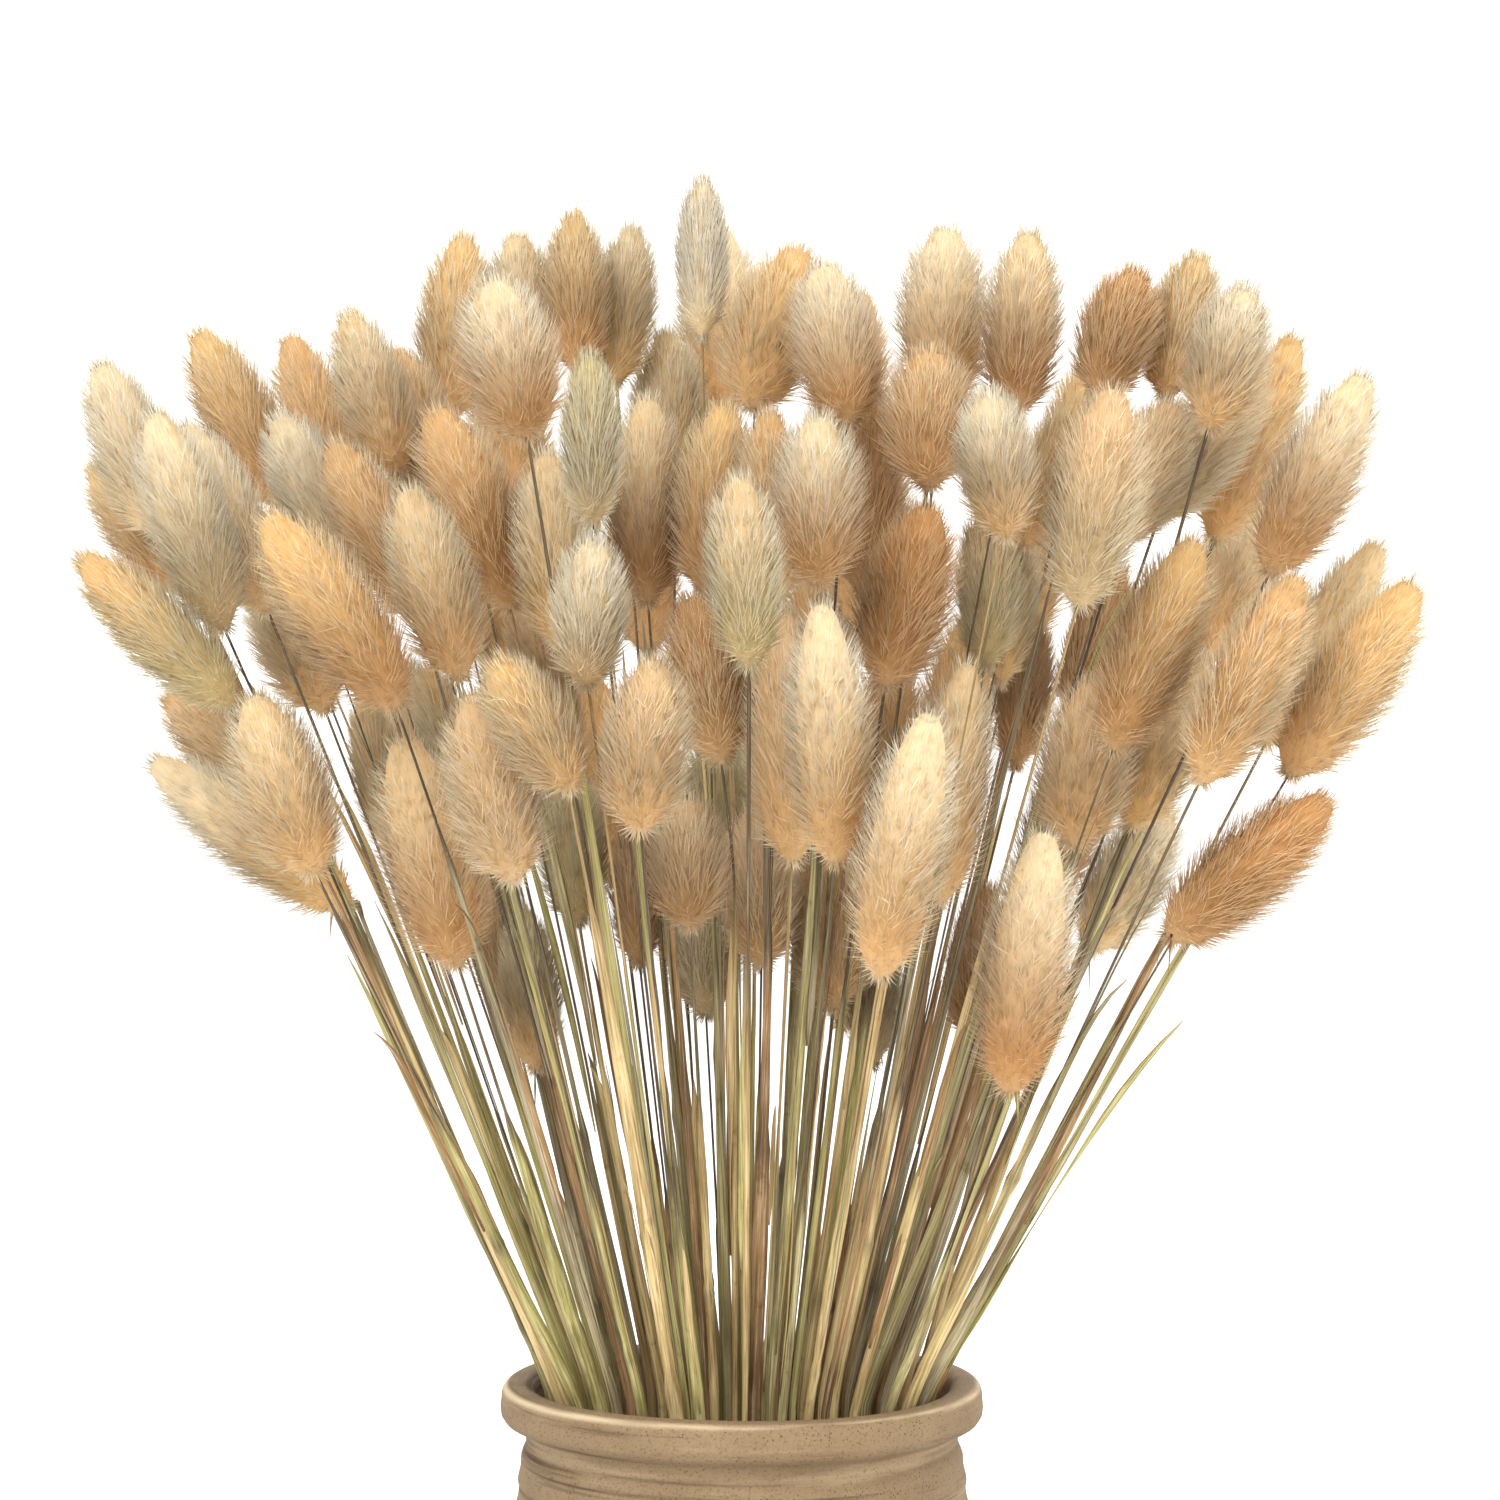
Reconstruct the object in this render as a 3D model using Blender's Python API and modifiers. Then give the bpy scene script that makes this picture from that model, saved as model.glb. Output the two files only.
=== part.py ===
"""A thrown clay vase filled with dried bunny tail grass, in metres, +Z up.

The origin is the middle of the vase's foot. Each furry head is read in the upright plane through the
vase's axis, as an eye in front of the vase sees it, and is then set at its own depth on its line of sight.
"""

import math

import bmesh
import bpy
import numpy as np
from mathutils import Matrix, Vector

OBJECT_NAME = "bunny_tail_vase"
MM = 0.001
SEED = 11
GAP = 0.4 * MM  # kept between solids that would touch

# The vase
VASE_HEIGHT = 185 * MM
LIP_RADIUS = 60.5 * MM
MOUTH_RADIUS = 52 * MM
NECK_RADIUS = 54.8 * MM
BELLY_RADIUS = 74 * MM
FOOT_RADIUS = 48 * MM
NECK_BELOW_RIM = 12 * MM
BELLY_HEIGHT = 92 * MM
WALL = 5.5 * MM
FLOOR = 8 * MM
RIDGE_PITCH = 20 * MM
RIDGE_DEPTH = 0.5 * MM
VASE_SIDES = 26

# The eye that the heads are read from, above the rim and in front of the axis
EYE_DISTANCE = 1150 * MM
EYE_ABOVE_RIM = 210 * MM

# The dome that the heads fill, above the rim
DOME_HALF_WIDTH = 182 * MM
DOME_HALF_DEPTH = 132 * MM
DOME_HALF_HEIGHT = 128 * MM
DOME_MIDDLE = 185 * MM
FRONT_ROW = 0.95  # of the dome's half depth, in front of the axis
ROW_STEP = 0.6
FAN_POINT = 90 * MM  # how far below the rim the stalks' directions would meet

# Heads
SOLID_SHARE = 0.94  # of the fur's width, that the solid takes
CORE_SHARE = 0.74  # of the solid's radius, that the core takes
HIDDEN_LENGTH = 42 * MM  # least length of a head that others partly hide
HEAD_SIDES = 6
HEAD_RINGS = 5
NECK_LENGTH = 26 * MM
NECK_ROOM = 1.3 * MM  # round the top of a stem, which other heads keep clear of

# Heads on the far side, which nobody sees from the front
REAR_HEADS = 24
REAR_HALF_WIDTH = 132 * MM
REAR_HALF_HEIGHT = 82 * MM
REAR_MIDDLE = 192 * MM
GOLDEN_TURN = math.pi * (3 - math.sqrt(5))

# Stems. Two neighbours in some bunches touch at their feet and are one solid
BUNCHES = 59
SHEATH_RADIUS = (1.3 * MM, 2.0 * MM)
STALK_RADIUS = 0.65 * MM  # the bare upper stem
STEM_REACH = 50.2 * MM  # the stems' disc at the mouth
STRAIGHTNESS = 0.6  # 1 where a stem leaves the mouth straight towards its head
MOUTH_STRETCH = 1.25  # how much further to the sides the stems stand in the mouth
MOUTH_SPACING = 5.2 * MM
FOOT_SPREAD = 0.55  # of a stem's place at the mouth, where its foot stands
FOOT_SPACING = 5.6 * MM  # between the feet of two bunches
FOOT_TOUCH = 0.7 * MM  # from the middle of a bunch to each of its feet
ROOT_SUNK = 4 * MM  # of the stem's top, inside its head
STEPS_ABOVE = 5
MOUTH_STEP = 1  # the number of the point that lies in the vase's mouth

# Dry leaf blades, which stand off the sheaths a little above the mouth
LEAVES = 16
LEAF_LENGTH = 42 * MM
LEAF_HALF_WIDTH = 2 * MM
LEAF_HALF_THICKNESS = 0.45 * MM
LEAF_LEAN = math.radians(13)
LEAF_TURNS = 12

# What the front view shows, in mm: tip x, tip z, base x, base z, fur width, then the row,
# from 0 at the front to 2 behind the axis, and the tone. x is from the axis, z is above the rim.
LEFT_HEADS = (
    (-161, 257, -144, 211, 20, 1.0, "cream"),
    (-162, 231, -139, 201, 18, 2.0, "tan"),
    (-137, 265, -115, 219, 20, 1.5, "tan"),
    (-147, 245, -129, 188, 21, 0.0, "cream"),
    (-140, 241, -118, 192, 20, 0.5, "cream"),
    (-120, 219, -85, 169, 24, 0.0, "brown"),
    (-120, 204, -104, 168, 21, 1.0, "tan"),
    (-165, 209, -125, 170, 19, 0.0, "tan"),
    (-144, 174, -114, 146, 18, 2.0, "tan"),
    (-123, 174, -107, 127, 24, 0.0, "cream"),
    (-150, 157, -98, 118, 20, 1.0, "cream"),
    (-99, 270, -86, 227, 18, 1.0, "cream"),
    (-87, 260, -77, 225, 19, 1.5, "brown"),
    (-117, 244, -99, 205, 19, 1.0, "cream"),
    (-103, 237, -79, 191, 21, 1.0, "brown"),
    (-84, 226, -70, 176, 21, 0.5, "tan"),
    (-78, 246, -57, 193, 24, 1.0, "tan"),
)
CROWN_HEADS = (
    (-68, 288, -73, 239, 19, 2.0, "tan"),
    (-57, 289, -54, 246, 19, 2.0, "cream"),
    (-63, 278, -53, 236, 24, 0.0, "brown"),
    (-40, 293, -39, 259, 16, 2.0, "tan"),
    (-28, 291, -32, 257, 16, 2.0, "tan"),
    (-38, 259, -37, 214, 15, 0.0, "olive"),
    (-49, 235, -45, 184, 20, 1.0, "cream"),
    (-37, 213, -39, 174, 19, 0.0, "cream"),
    (-20, 265, -18, 234, 18, 2.0, "cream"),
    (-22, 249, -22, 194, 20, 1.0, "brown"),
    (-5, 246, -10, 196, 21, 1.0, "brown"),
    (-10, 303, -10, 264, 13, 1.5, "cream"),
    (-1, 229, 2, 179, 19, 0.0, "olive"),
    (5, 245, 8, 196, 18, 1.0, "tan"),
    (15, 286, 2, 243, 24, 1.5, "tan"),
    (20, 282, 27, 239, 22, 1.0, "brown"),
    (19, 244, 19, 199, 23, 0.5, "cream"),
    (33, 251, 31, 196, 18, 1.5, "brown"),
    (51, 291, 50, 244, 24, 1.5, "tan"),
    (46, 260, 46, 223, 24, 1.0, "brown"),
    (72, 290, 68, 241, 20, 1.0, "brown"),
    (61, 250, 66, 211, 20, 0.0, "cream"),
    (48, 222, 36, 174, 24, 1.0, "brown"),
    (61, 221, 61, 185, 16, 1.5, "tan"),
    (72, 216, 68, 182, 14, 2.0, "cream"),
)
RIGHT_HEADS = (
    (99, 280, 89, 246, 20, 1.0, "brown"),
    (115, 284, 106, 246, 18, 1.0, "tan"),
    (126, 276, 116, 238, 20, 0.0, "cream"),
    (109, 247, 93, 209, 20, 1.0, "cream"),
    (130, 257, 102, 216, 20, 1.0, "olive"),
    (139, 264, 118, 210, 20, 1.5, "tan"),
    (156, 254, 131, 202, 22, 0.0, "cream"),
    (93, 251, 84, 194, 24, 0.0, "olive"),
    (86, 246, 72, 215, 19, 2.0, "tan"),
    (114, 213, 92, 158, 23, 0.5, "brown"),
    (95, 206, 88, 184, 15, 2.0, "brown"),
    (140, 204, 114, 150, 22, 0.0, "tan"),
    (161, 212, 131, 159, 20, 1.0, "cream"),
    (169, 202, 136, 152, 24, 0.0, "tan"),
    (148, 148, 106, 111, 22, 0.0, "brown"),
    (115, 185, 97, 138, 21, 1.0, "cream"),
    (89, 178, 83, 134, 24, 1.0, "tan"),
    (107, 146, 86, 108, 20, 2.0, "cream"),
    (76, 140, 67, 72, 24, 0.0, "brown"),
    (62, 126, 58, 94, 15, 1.5, "brown"),
    (71, 196, 67, 156, 15, 2.0, "brown"),
)
MIDDLE_HEADS = (
    (20, 197, 24, 129, 22, 0.0, "tan"),
    (47, 170, 34, 102, 23, 0.0, "cream"),
    (56, 183, 49, 120, 19, 1.0, "tan"),
    (36, 186, 37, 131, 20, 1.5, "brown"),
    (19, 134, 22, 98, 21, 1.5, "tan"),
    (34, 121, 33, 97, 14, 2.0, "olive"),
    (8, 196, 11, 131, 21, 1.0, "tan"),
    (-22, 183, -26, 138, 22, 0.0, "tan"),
    (-63, 183, -42, 149, 20, 0.0, "tan"),
    (-68, 174, -57, 125, 24, 0.0, "cream"),
    (-85, 164, -71, 104, 26, 0.5, "brown"),
    (-95, 174, -91, 152, 12, 2.0, "tan"),
    (-80, 179, -72, 155, 14, 2.0, "olive"),
    (-57, 196, -49, 174, 15, 2.0, "brown"),
    (-12, 200, -4, 156, 22, 1.0, "brown"),
    (-6, 166, -7, 137, 18, 2.0, "olive"),
    (-13, 149, -12, 114, 20, 1.0, "brown"),
    (-26, 146, -26, 112, 14, 2.0, "brown"),
    (-9, 134, -9, 107, 19, 2.0, "olive"),
    (4, 146, 6, 107, 20, 1.5, "tan"),
    (-54, 121, -52, 94, 15, 2.0, "olive"),
    (-44, 156, -42, 128, 18, 2.0, "olive"),
    (-63, 134, -59, 99, 15, 2.0, "brown"),
)
TONES = ("cream", "tan", "brown", "olive")

FUR_COLOURS = {
    "cream": (0.80, 0.66, 0.45),
    "tan": (0.62, 0.43, 0.25),
    "brown": (0.42, 0.24, 0.12),
    "olive": (0.47, 0.40, 0.26),
}
CLAY_COLOUR = (0.56, 0.43, 0.30)


def dot(a, b):
    return a[..., 0] * b[..., 0] + a[..., 1] * b[..., 1] + a[..., 2] * b[..., 2]


def size(a):
    return np.sqrt(dot(a, a))


def along(start, end, share):
    return start + (end - start) * np.asarray(share)[..., None]


def nearest(start_a, end_a, start_b, end_b):
    """How far along each of two straight runs they come nearest, and the way from one to the other."""
    run_a, run_b, between = end_a - start_a, end_b - start_b, start_a - start_b
    aa, bb, ab = dot(run_a, run_a), dot(run_b, run_b), dot(run_a, run_b)
    a_between, b_between = dot(run_a, between), dot(run_b, between)
    slant = np.maximum(aa * bb - ab * ab, 1e-14)
    share_a = np.clip((ab * b_between - a_between * bb) / slant, 0, 1)
    share_b = np.clip((ab * share_a + b_between) / bb, 0, 1)
    share_a = np.clip((ab * share_b - a_between) / aa, 0, 1)
    way = along(start_b, end_b, share_b) - along(start_a, end_a, share_a)
    return share_a, share_b, way


def seen_at(x, z, depth):
    """The point at this depth on the line of sight through (x, z) of the upright plane."""
    share = (EYE_DISTANCE + depth) / EYE_DISTANCE
    return np.stack([x * share, depth, EYE_ABOVE_RIM + (z - EYE_ABOVE_RIM) * share], -1)


def rear_heads(random):
    """Heads on a sunflower spiral over the far side, each leaning out from the vase."""
    rows = []
    for k in range(REAR_HEADS):
        reach = math.sqrt((k + 0.6) / REAR_HEADS)
        x = REAR_HALF_WIDTH * reach * math.cos(k * GOLDEN_TURN)
        z = REAR_MIDDLE + REAR_HALF_HEIGHT * reach * math.sin(k * GOLDEN_TURN)
        out = Vector((x, z + FAN_POINT)).normalized() * random.uniform(24, 29) * MM
        width = random.uniform(19, 23) * MM
        tone = TONES[int(random.integers(0, 3))]
        row = 2.4 + 0.35 * (k % 3)
        rows.append((x + out.x, z + out.y, x - out.x, z - out.y, width, row, tone))
    return rows


def read_heads():
    """Both ends, the solid's radius and the tone of every head, at the depth of its row."""
    rows = [
        tuple(value * MM for value in row[:5]) + row[5:]
        for row in LEFT_HEADS + CROWN_HEADS + RIGHT_HEADS + MIDDLE_HEADS
    ]
    rows += rear_heads(np.random.default_rng(SEED))
    tip_x, tip_z, base_x, base_z, width, row = np.array([row[:6] for row in rows]).T
    tones = [row[6] for row in rows]
    length = np.hypot(tip_x - base_x, tip_z - base_z)
    longer = np.where(row >= 1.5, np.maximum(HIDDEN_LENGTH / length, 1), 1)
    base_x = tip_x + (base_x - tip_x) * longer
    base_z = tip_z + (base_z - tip_z) * longer
    x = (tip_x + base_x) / 2
    z = (tip_z + base_z) / 2
    edge = (x / DOME_HALF_WIDTH) ** 2 + ((z - DOME_MIDDLE) / DOME_HALF_HEIGHT) ** 2
    depth = DOME_HALF_DEPTH * (ROW_STEP * row - FRONT_ROW) * np.sqrt(np.maximum(1 - edge, 0.15))
    lean = depth * length * longer / 2 / (z + FAN_POINT)
    base = seen_at(base_x, base_z, depth - lean)
    tip = seen_at(tip_x, tip_z, depth + lean)
    radius = SOLID_SHARE * width / 2 * (EYE_DISTANCE + depth) / EYE_DISTANCE
    return base, tip, radius, tones


def inner_run(base, tip, radius):
    """The straight run whose points lie one radius inside the head's ends."""
    axis = (tip - base) / size(tip - base)[:, None]
    inset = np.minimum(radius * 0.85, size(tip - base) * 0.45)[:, None] * axis
    return base + inset, tip - inset, axis


def press(move, first, second, way, want, order, sideways):
    """Adds to each pair's moves so that they come to lie this far apart, mostly by moving them in depth."""
    flat = np.hypot(way[:, 0], way[:, 2])
    side = np.where(np.abs(way[:, 1]) > MM, np.sign(way[:, 1]), order)
    step = np.sqrt(np.maximum(want * want - flat * flat, 0)) - way[:, 1] * side
    step = np.clip(step, 0, 3 * MM) * 0.35
    share = np.maximum(want - size(way), 0) / np.maximum(flat, MM) * sideways
    shift = np.stack([way[:, 0] * share, side * step, way[:, 2] * share], 1)
    np.add.at(move, first, -shift)
    np.add.at(move, second, shift)


def part_heads(base, tip, radius, rounds):
    """Moves whole heads, mostly in depth, until none presses into another head or its neck."""
    count = len(radius)
    first, second = np.triu_indices(count, 1)
    want = radius[first] + radius[second] + GAP
    necks, bodies = np.nonzero(~np.eye(count, dtype=bool))
    want_neck = radius[bodies] + NECK_ROOM + 2 * GAP
    home = base.copy()
    axis_of = tip - base
    for turn in range(rounds):
        tip = base + axis_of
        sideways = 0.15 if turn > rounds * 0.6 else 0.0
        low, high, axis = inner_run(base, tip, radius)
        move = np.zeros_like(base)
        way = nearest(low[first], high[first], low[second], high[second])[2]
        order = np.where(home[second, 1] >= home[first, 1], 1.0, -1.0)
        press(move, first, second, way, want, order, sideways)
        foot = base - axis * NECK_LENGTH
        way = nearest(foot[necks], base[necks], low[bodies], high[bodies])[2]
        order = np.where(home[bodies, 1] >= home[necks, 1], 1.0, -1.0)
        press(move, necks, bodies, way, want_neck, order, sideways)
        pull = np.array([0.08, 0.008, 0.08]) * (1.0 if turn < rounds * 0.8 else 0.0)
        base = base + np.clip(move, -4 * MM, 4 * MM) + (home - base) * pull
    return base, base + axis_of


def space_out(place, spacing, reach):
    """Moves places apart in a disc until no two are nearer than this spacing."""
    first, second = np.triu_indices(len(place), 1)
    for _ in range(250):
        way = place[second] - place[first]
        apart = np.maximum(np.hypot(way[:, 0], way[:, 1]), 1e-6)
        shift = way * (np.maximum(spacing - apart, 0) * 0.4 / apart)[:, None]
        np.add.at(place, first, -shift)
        np.add.at(place, second, shift)
        place = place * np.minimum(reach / np.hypot(place[:, 0], place[:, 1]), 1)[:, None]
    return place


def stem_places(base):
    """Where each stem crosses the mouth: in the order that the heads fan out, none on another."""
    place = base[:, :2] / (base[:, 2] + FAN_POINT)[:, None]
    place = place * (STEM_REACH * 0.97 / np.hypot(place[:, 0], place[:, 1]).max())
    place = place * np.array([MOUTH_STRETCH, 1])
    return space_out(place, MOUTH_SPACING, STEM_REACH - SHEATH_RADIUS[1])


def pick_bunches(place, tones):
    """The number of each stem's bunch: the nearest neighbours are paired until few enough bunches are left."""
    tone = np.array([TONES.index(name) for name in tones])
    first, second = np.triu_indices(len(place), 1)
    way = place[second] - place[first]
    cost = np.hypot(way[:, 0], way[:, 1]) + 4 * MM * (tone[first] != tone[second])
    mate = {}
    for k in np.argsort(np.round(cost, 6), kind="stable"):
        a, b = int(first[k]), int(second[k])
        if a not in mate and b not in mate and len(place) - len(mate) // 2 > BUNCHES:
            mate[a], mate[b] = b, a
    leaders = sorted({min(k, mate.get(k, k)) for k in range(len(place))})
    return np.array([leaders.index(min(k, mate.get(k, k))) for k in range(len(place))])


def stem_feet(place, bunch):
    """Where each stem stands on the floor: the two of a bunch touch, and the bunches are spaced out."""
    middle = np.stack([place[bunch == number].mean(axis=0) for number in range(BUNCHES)])
    stand = space_out(middle * FOOT_SPREAD, FOOT_SPACING, STEM_REACH * FOOT_SPREAD * 1.15)
    out = place - middle[bunch]
    reach = np.maximum(np.hypot(out[:, 0], out[:, 1]), MM)
    return stand[bunch] + out / reach[:, None] * np.minimum(reach, FOOT_TOUCH)[:, None]


def first_routes(base, axis, place, bunch):
    """Each stem's points: the foot, the vase's mouth, and then a curve to its head's base."""
    mouth = np.concatenate([place, np.full((len(place), 1), -3 * MM)], 1)
    floor = np.full((len(place), 1), FLOOR - VASE_HEIGHT + 0.5 * MM)
    foot = np.concatenate([stem_feet(place, bunch), floor], 1)
    end = base + axis * ROOT_SUNK
    span = size(end - mouth)[:, None]
    inside = (mouth - foot) / size(mouth - foot)[:, None]
    rise = along(inside, (end - mouth) / span, STRAIGHTNESS)
    bend_low = mouth + rise * span * 0.38
    bend_high = end - axis * span * 0.3
    points = [foot, mouth]
    for step in range(1, STEPS_ABOVE + 1):
        t = step / STEPS_ABOVE
        points.append(
            mouth * (1 - t) ** 3
            + bend_low * 3 * t * (1 - t) ** 2
            + bend_high * 3 * t * t * (1 - t)
            + end * t**3
        )
    return np.stack(points, 1)


def stem_radii(sheath):
    """The radius at each of a stem's points: a dry sheath low down, then the bare upper stem."""
    share = np.array([1, 1, 0.95, 0.75, 0.3, 0, 0])
    return STALK_RADIUS + (sheath[:, None] - STALK_RADIUS) * share


def clear_routes(routes, radii, bunch, head_low, head_high, head_radius, rounds):
    """Bends the stems clear of the heads of other stalks and of the other bunches' stems."""
    count, steps = routes.shape[:2]
    owner = np.repeat(np.arange(count), steps - 1)
    step_of = np.tile(np.arange(steps - 1), count)
    thick = np.maximum(radii[:, :-1], radii[:, 1:]).reshape(-1)
    first = second = run = head = None
    for turn in range(rounds):
        start = routes[:, :-1].reshape(-1, 3)
        end = routes[:, 1:].reshape(-1, 3)
        if turn % 10 == 0:
            half = size(end - start) / 2
            middle = (start + end) / 2
            first, second = np.nonzero(
                (size(middle[:, None] - middle[None]) < half[:, None] + half[None] + 7 * MM)
                & (bunch[owner][:, None] < bunch[owner][None])
            )
            head_half = size(head_high - head_low) / 2 + head_radius
            head_middle = (head_low + head_high) / 2
            run, head = np.nonzero(
                (size(middle[:, None] - head_middle[None]) < half[:, None] + head_half + 7 * MM)
                & (owner[:, None] != np.arange(len(head_radius)))
            )
        move = np.zeros_like(routes)
        share_a, share_b, way = nearest(start[first], end[first], start[second], end[second])
        apart = np.maximum(size(way), 1e-6)
        step = np.maximum(thick[first] + thick[second] + 1.5 * GAP - apart, 0) * 0.5
        unit = way / apart[:, None]
        for index, share, sign in ((first, share_a, -1), (second, share_b, 1)):
            np.add.at(move, (owner[index], step_of[index]), unit * (sign * step * (1 - share))[:, None])
            np.add.at(move, (owner[index], step_of[index] + 1), unit * (sign * step * share)[:, None])
        share_a, _, way = nearest(start[run], end[run], head_low[head], head_high[head])
        apart = np.maximum(size(way), 1e-6)
        step = np.maximum(head_radius[head] + thick[run] + 1.5 * GAP - apart, 0) * 0.9
        unit = way / apart[:, None]
        np.add.at(move, (owner[run], step_of[run]), -unit * (step * (1 - share_a))[:, None])
        np.add.at(move, (owner[run], step_of[run] + 1), -unit * (step * share_a)[:, None])
        move[:, 0] = 0
        move[:, -1] = 0
        move[:, MOUTH_STEP, 2] = 0
        even = (routes[:, :-2] + routes[:, 2:]) / 2 - routes[:, 1:-1]
        smooth = 0.06 if turn < rounds * 0.7 else 0.01
        move[:, MOUTH_STEP + 1 : -1] += even[:, MOUTH_STEP:] * smooth
        routes = routes + np.clip(move, -3 * MM, 3 * MM)
        inside = np.hypot(routes[:, MOUTH_STEP, 0], routes[:, MOUTH_STEP, 1])
        keep = np.minimum((STEM_REACH - radii[:, MOUTH_STEP]) / inside, 1)
        routes[:, MOUTH_STEP, :2] *= keep[:, None]
    return routes


def leaf_blades(routes, radii, bunch, low, high, radius):
    """A stem, a root and a tip for each leaf blade, turned to where it is clearest of everything else."""
    count, steps = routes.shape[:2]
    owner = np.repeat(np.arange(count), steps - 1)
    start, end = routes[:, :-1].reshape(-1, 3), routes[:, 1:].reshape(-1, 3)
    thick = np.maximum(radii[:, :-1], radii[:, 1:]).reshape(-1)
    found = []
    for stem in range(count):
        low_point, high_point = routes[stem, MOUTH_STEP + 1], routes[stem, MOUTH_STEP + 2]
        root = along(low_point, high_point, 0.2 + 0.6 * (stem * 0.618 % 1))
        way = (high_point - low_point) / size(high_point - low_point)
        side = np.cross(way, [0.0, 0.0, 1.0])
        side = side / size(side)
        other = bunch[owner] != bunch[stem]
        for turn in range(LEAF_TURNS):
            angle = 2 * math.pi * turn / LEAF_TURNS
            out = side * math.cos(angle) + np.cross(way, side) * math.sin(angle)
            tip = root + (way * math.cos(LEAF_LEAN) + out * math.sin(LEAF_LEAN)) * LEAF_LENGTH
            _, _, near = nearest(root, tip, start[other], end[other])
            _, _, head = nearest(root, tip, low, high)
            room = min((size(near) - thick[other]).min(), (size(head) - radius).min())
            found.append((round(room, 5), stem, tuple(root), tuple(tip)))
    best = {}
    for room, stem, root, tip in sorted(found, reverse=True):
        crowded = any(abs(stem - taken) < 3 for taken in best)
        if room > LEAF_HALF_WIDTH + GAP and not crowded and len(best) < LEAVES:
            if all(min(math.dist(root, r), math.dist(tip, t)) > 9 * MM for r, t in best.values()):
                best[stem] = (root, tip)
    return best


def arrange():
    """The whole bouquet, worked out above the rim and then lifted onto the vase."""
    base, tip, radius, tones = read_heads()
    base, tip = part_heads(base, tip, radius, 300)
    low, high, axis = inner_run(base, tip, radius)
    place = stem_places(base)
    bunch = pick_bunches(place, tones)
    sheath = np.random.default_rng(SEED + 1).uniform(*SHEATH_RADIUS, len(radius))
    radii = stem_radii(sheath)
    routes = first_routes(base, axis, place, bunch)
    routes = clear_routes(routes, radii, bunch, low, high, radius, 240)
    leaves = leaf_blades(routes, radii, bunch, low, high, radius)
    lift = np.array([0, 0, VASE_HEIGHT])
    places = {"base": base + lift, "tip": tip + lift, "routes": routes + lift}
    rounded = {name: np.round(value, 5) for name, value in places.items()}
    leaves = {stem: np.round(np.array(ends) + lift, 5) for stem, ends in leaves.items()}
    others = {"tones": tones, "bunch": bunch, "leaves": leaves}
    return {**rounded, **others, "radius": radius, "radii": radii}


def material(name, colour, roughness):
    """A plain Principled material with the part's colour."""
    made = bpy.data.materials.new(name)
    made.use_nodes = True
    shader = made.node_tree.nodes["Principled BSDF"]
    shader.inputs["Base Color"].default_value = (*colour, 1)
    shader.inputs["Roughness"].default_value = roughness
    made.diffuse_color = (*colour, 1)
    return made


def add_object(name, data, collection, finish=None):
    obj = bpy.data.objects.new(name, data)
    collection.objects.link(obj)
    if finish:
        data.materials.append(finish)
    return obj


def vase_radius(height):
    """The outer wall: a belly that swells from the foot and draws in to the neck, with throwing ridges."""
    neck = VASE_HEIGHT - NECK_BELOW_RIM
    if height < BELLY_HEIGHT:
        share = math.sin(math.pi / 2 * (height / BELLY_HEIGHT) ** 0.9)
        wall = FOOT_RADIUS + (BELLY_RADIUS - FOOT_RADIUS) * share
    else:
        share = (height - BELLY_HEIGHT) / (neck - BELLY_HEIGHT)
        wall = NECK_RADIUS + (BELLY_RADIUS - NECK_RADIUS) * (0.5 + 0.5 * math.cos(math.pi * share))
    return wall + RIDGE_DEPTH * math.cos(2 * math.pi * (neck - height) / RIDGE_PITCH + math.pi)


def vase_profile():
    """From the middle of the inner floor up, over the rolled lip, down the outside and in under the foot."""
    neck = VASE_HEIGHT - NECK_BELOW_RIM
    lip_half = (LIP_RADIUS - MOUTH_RADIUS) / 2
    lip_middle = MOUTH_RADIUS + lip_half
    lip_height = VASE_HEIGHT - lip_half
    inner = [(0, FLOOR), (FOOT_RADIUS - WALL * 1.6, FLOOR), (FOOT_RADIUS - WALL * 0.6, FLOOR + 6 * MM)]
    for step in range(1, 5):
        height = BELLY_HEIGHT * 0.25 + (neck - BELLY_HEIGHT * 0.25) * step / 5
        inner.append((vase_radius(height) - WALL, height))
    inner.append((MOUTH_RADIUS - 1.5 * MM, neck))
    lip = []
    for step in range(6):
        turn = math.pi - math.pi * 1.15 * step / 5
        lip.append((lip_middle + lip_half * math.cos(turn), lip_height + lip_half * math.sin(turn)))
    lip.append((LIP_RADIUS - 0.6 * MM, lip_height - 2.8 * MM))
    lip.append((NECK_RADIUS + 0.6 * MM, lip_height - 4.6 * MM))
    count = round((neck - 9 * MM) / RIDGE_PITCH * 2)
    outer = []
    for step in range(count + 1):
        height = neck - RIDGE_PITCH / 2 * step
        outer.append((vase_radius(height), height))
    foot = [(FOOT_RADIUS - 1 * MM, 2 * MM), (FOOT_RADIUS - 3 * MM, 0), (0, 0)]
    return inner + lip + outer + foot


def make_vase(collection):
    profile = vase_profile()
    mesh = bpy.data.meshes.new("vase")
    edges = [(k, k + 1) for k in range(len(profile) - 1)]
    mesh.from_pydata([(radius, 0, height) for radius, height in profile], edges, [])
    vase = add_object("vase", mesh, collection, material("clay", CLAY_COLOUR, 0.85))
    turn = vase.modifiers.new("Turn", "SCREW")
    turn.angle = 2 * math.pi
    turn.steps = turn.render_steps = VASE_SIDES
    turn.use_merge_vertices = True
    turn.merge_threshold = 0.00005
    return vase


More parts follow.
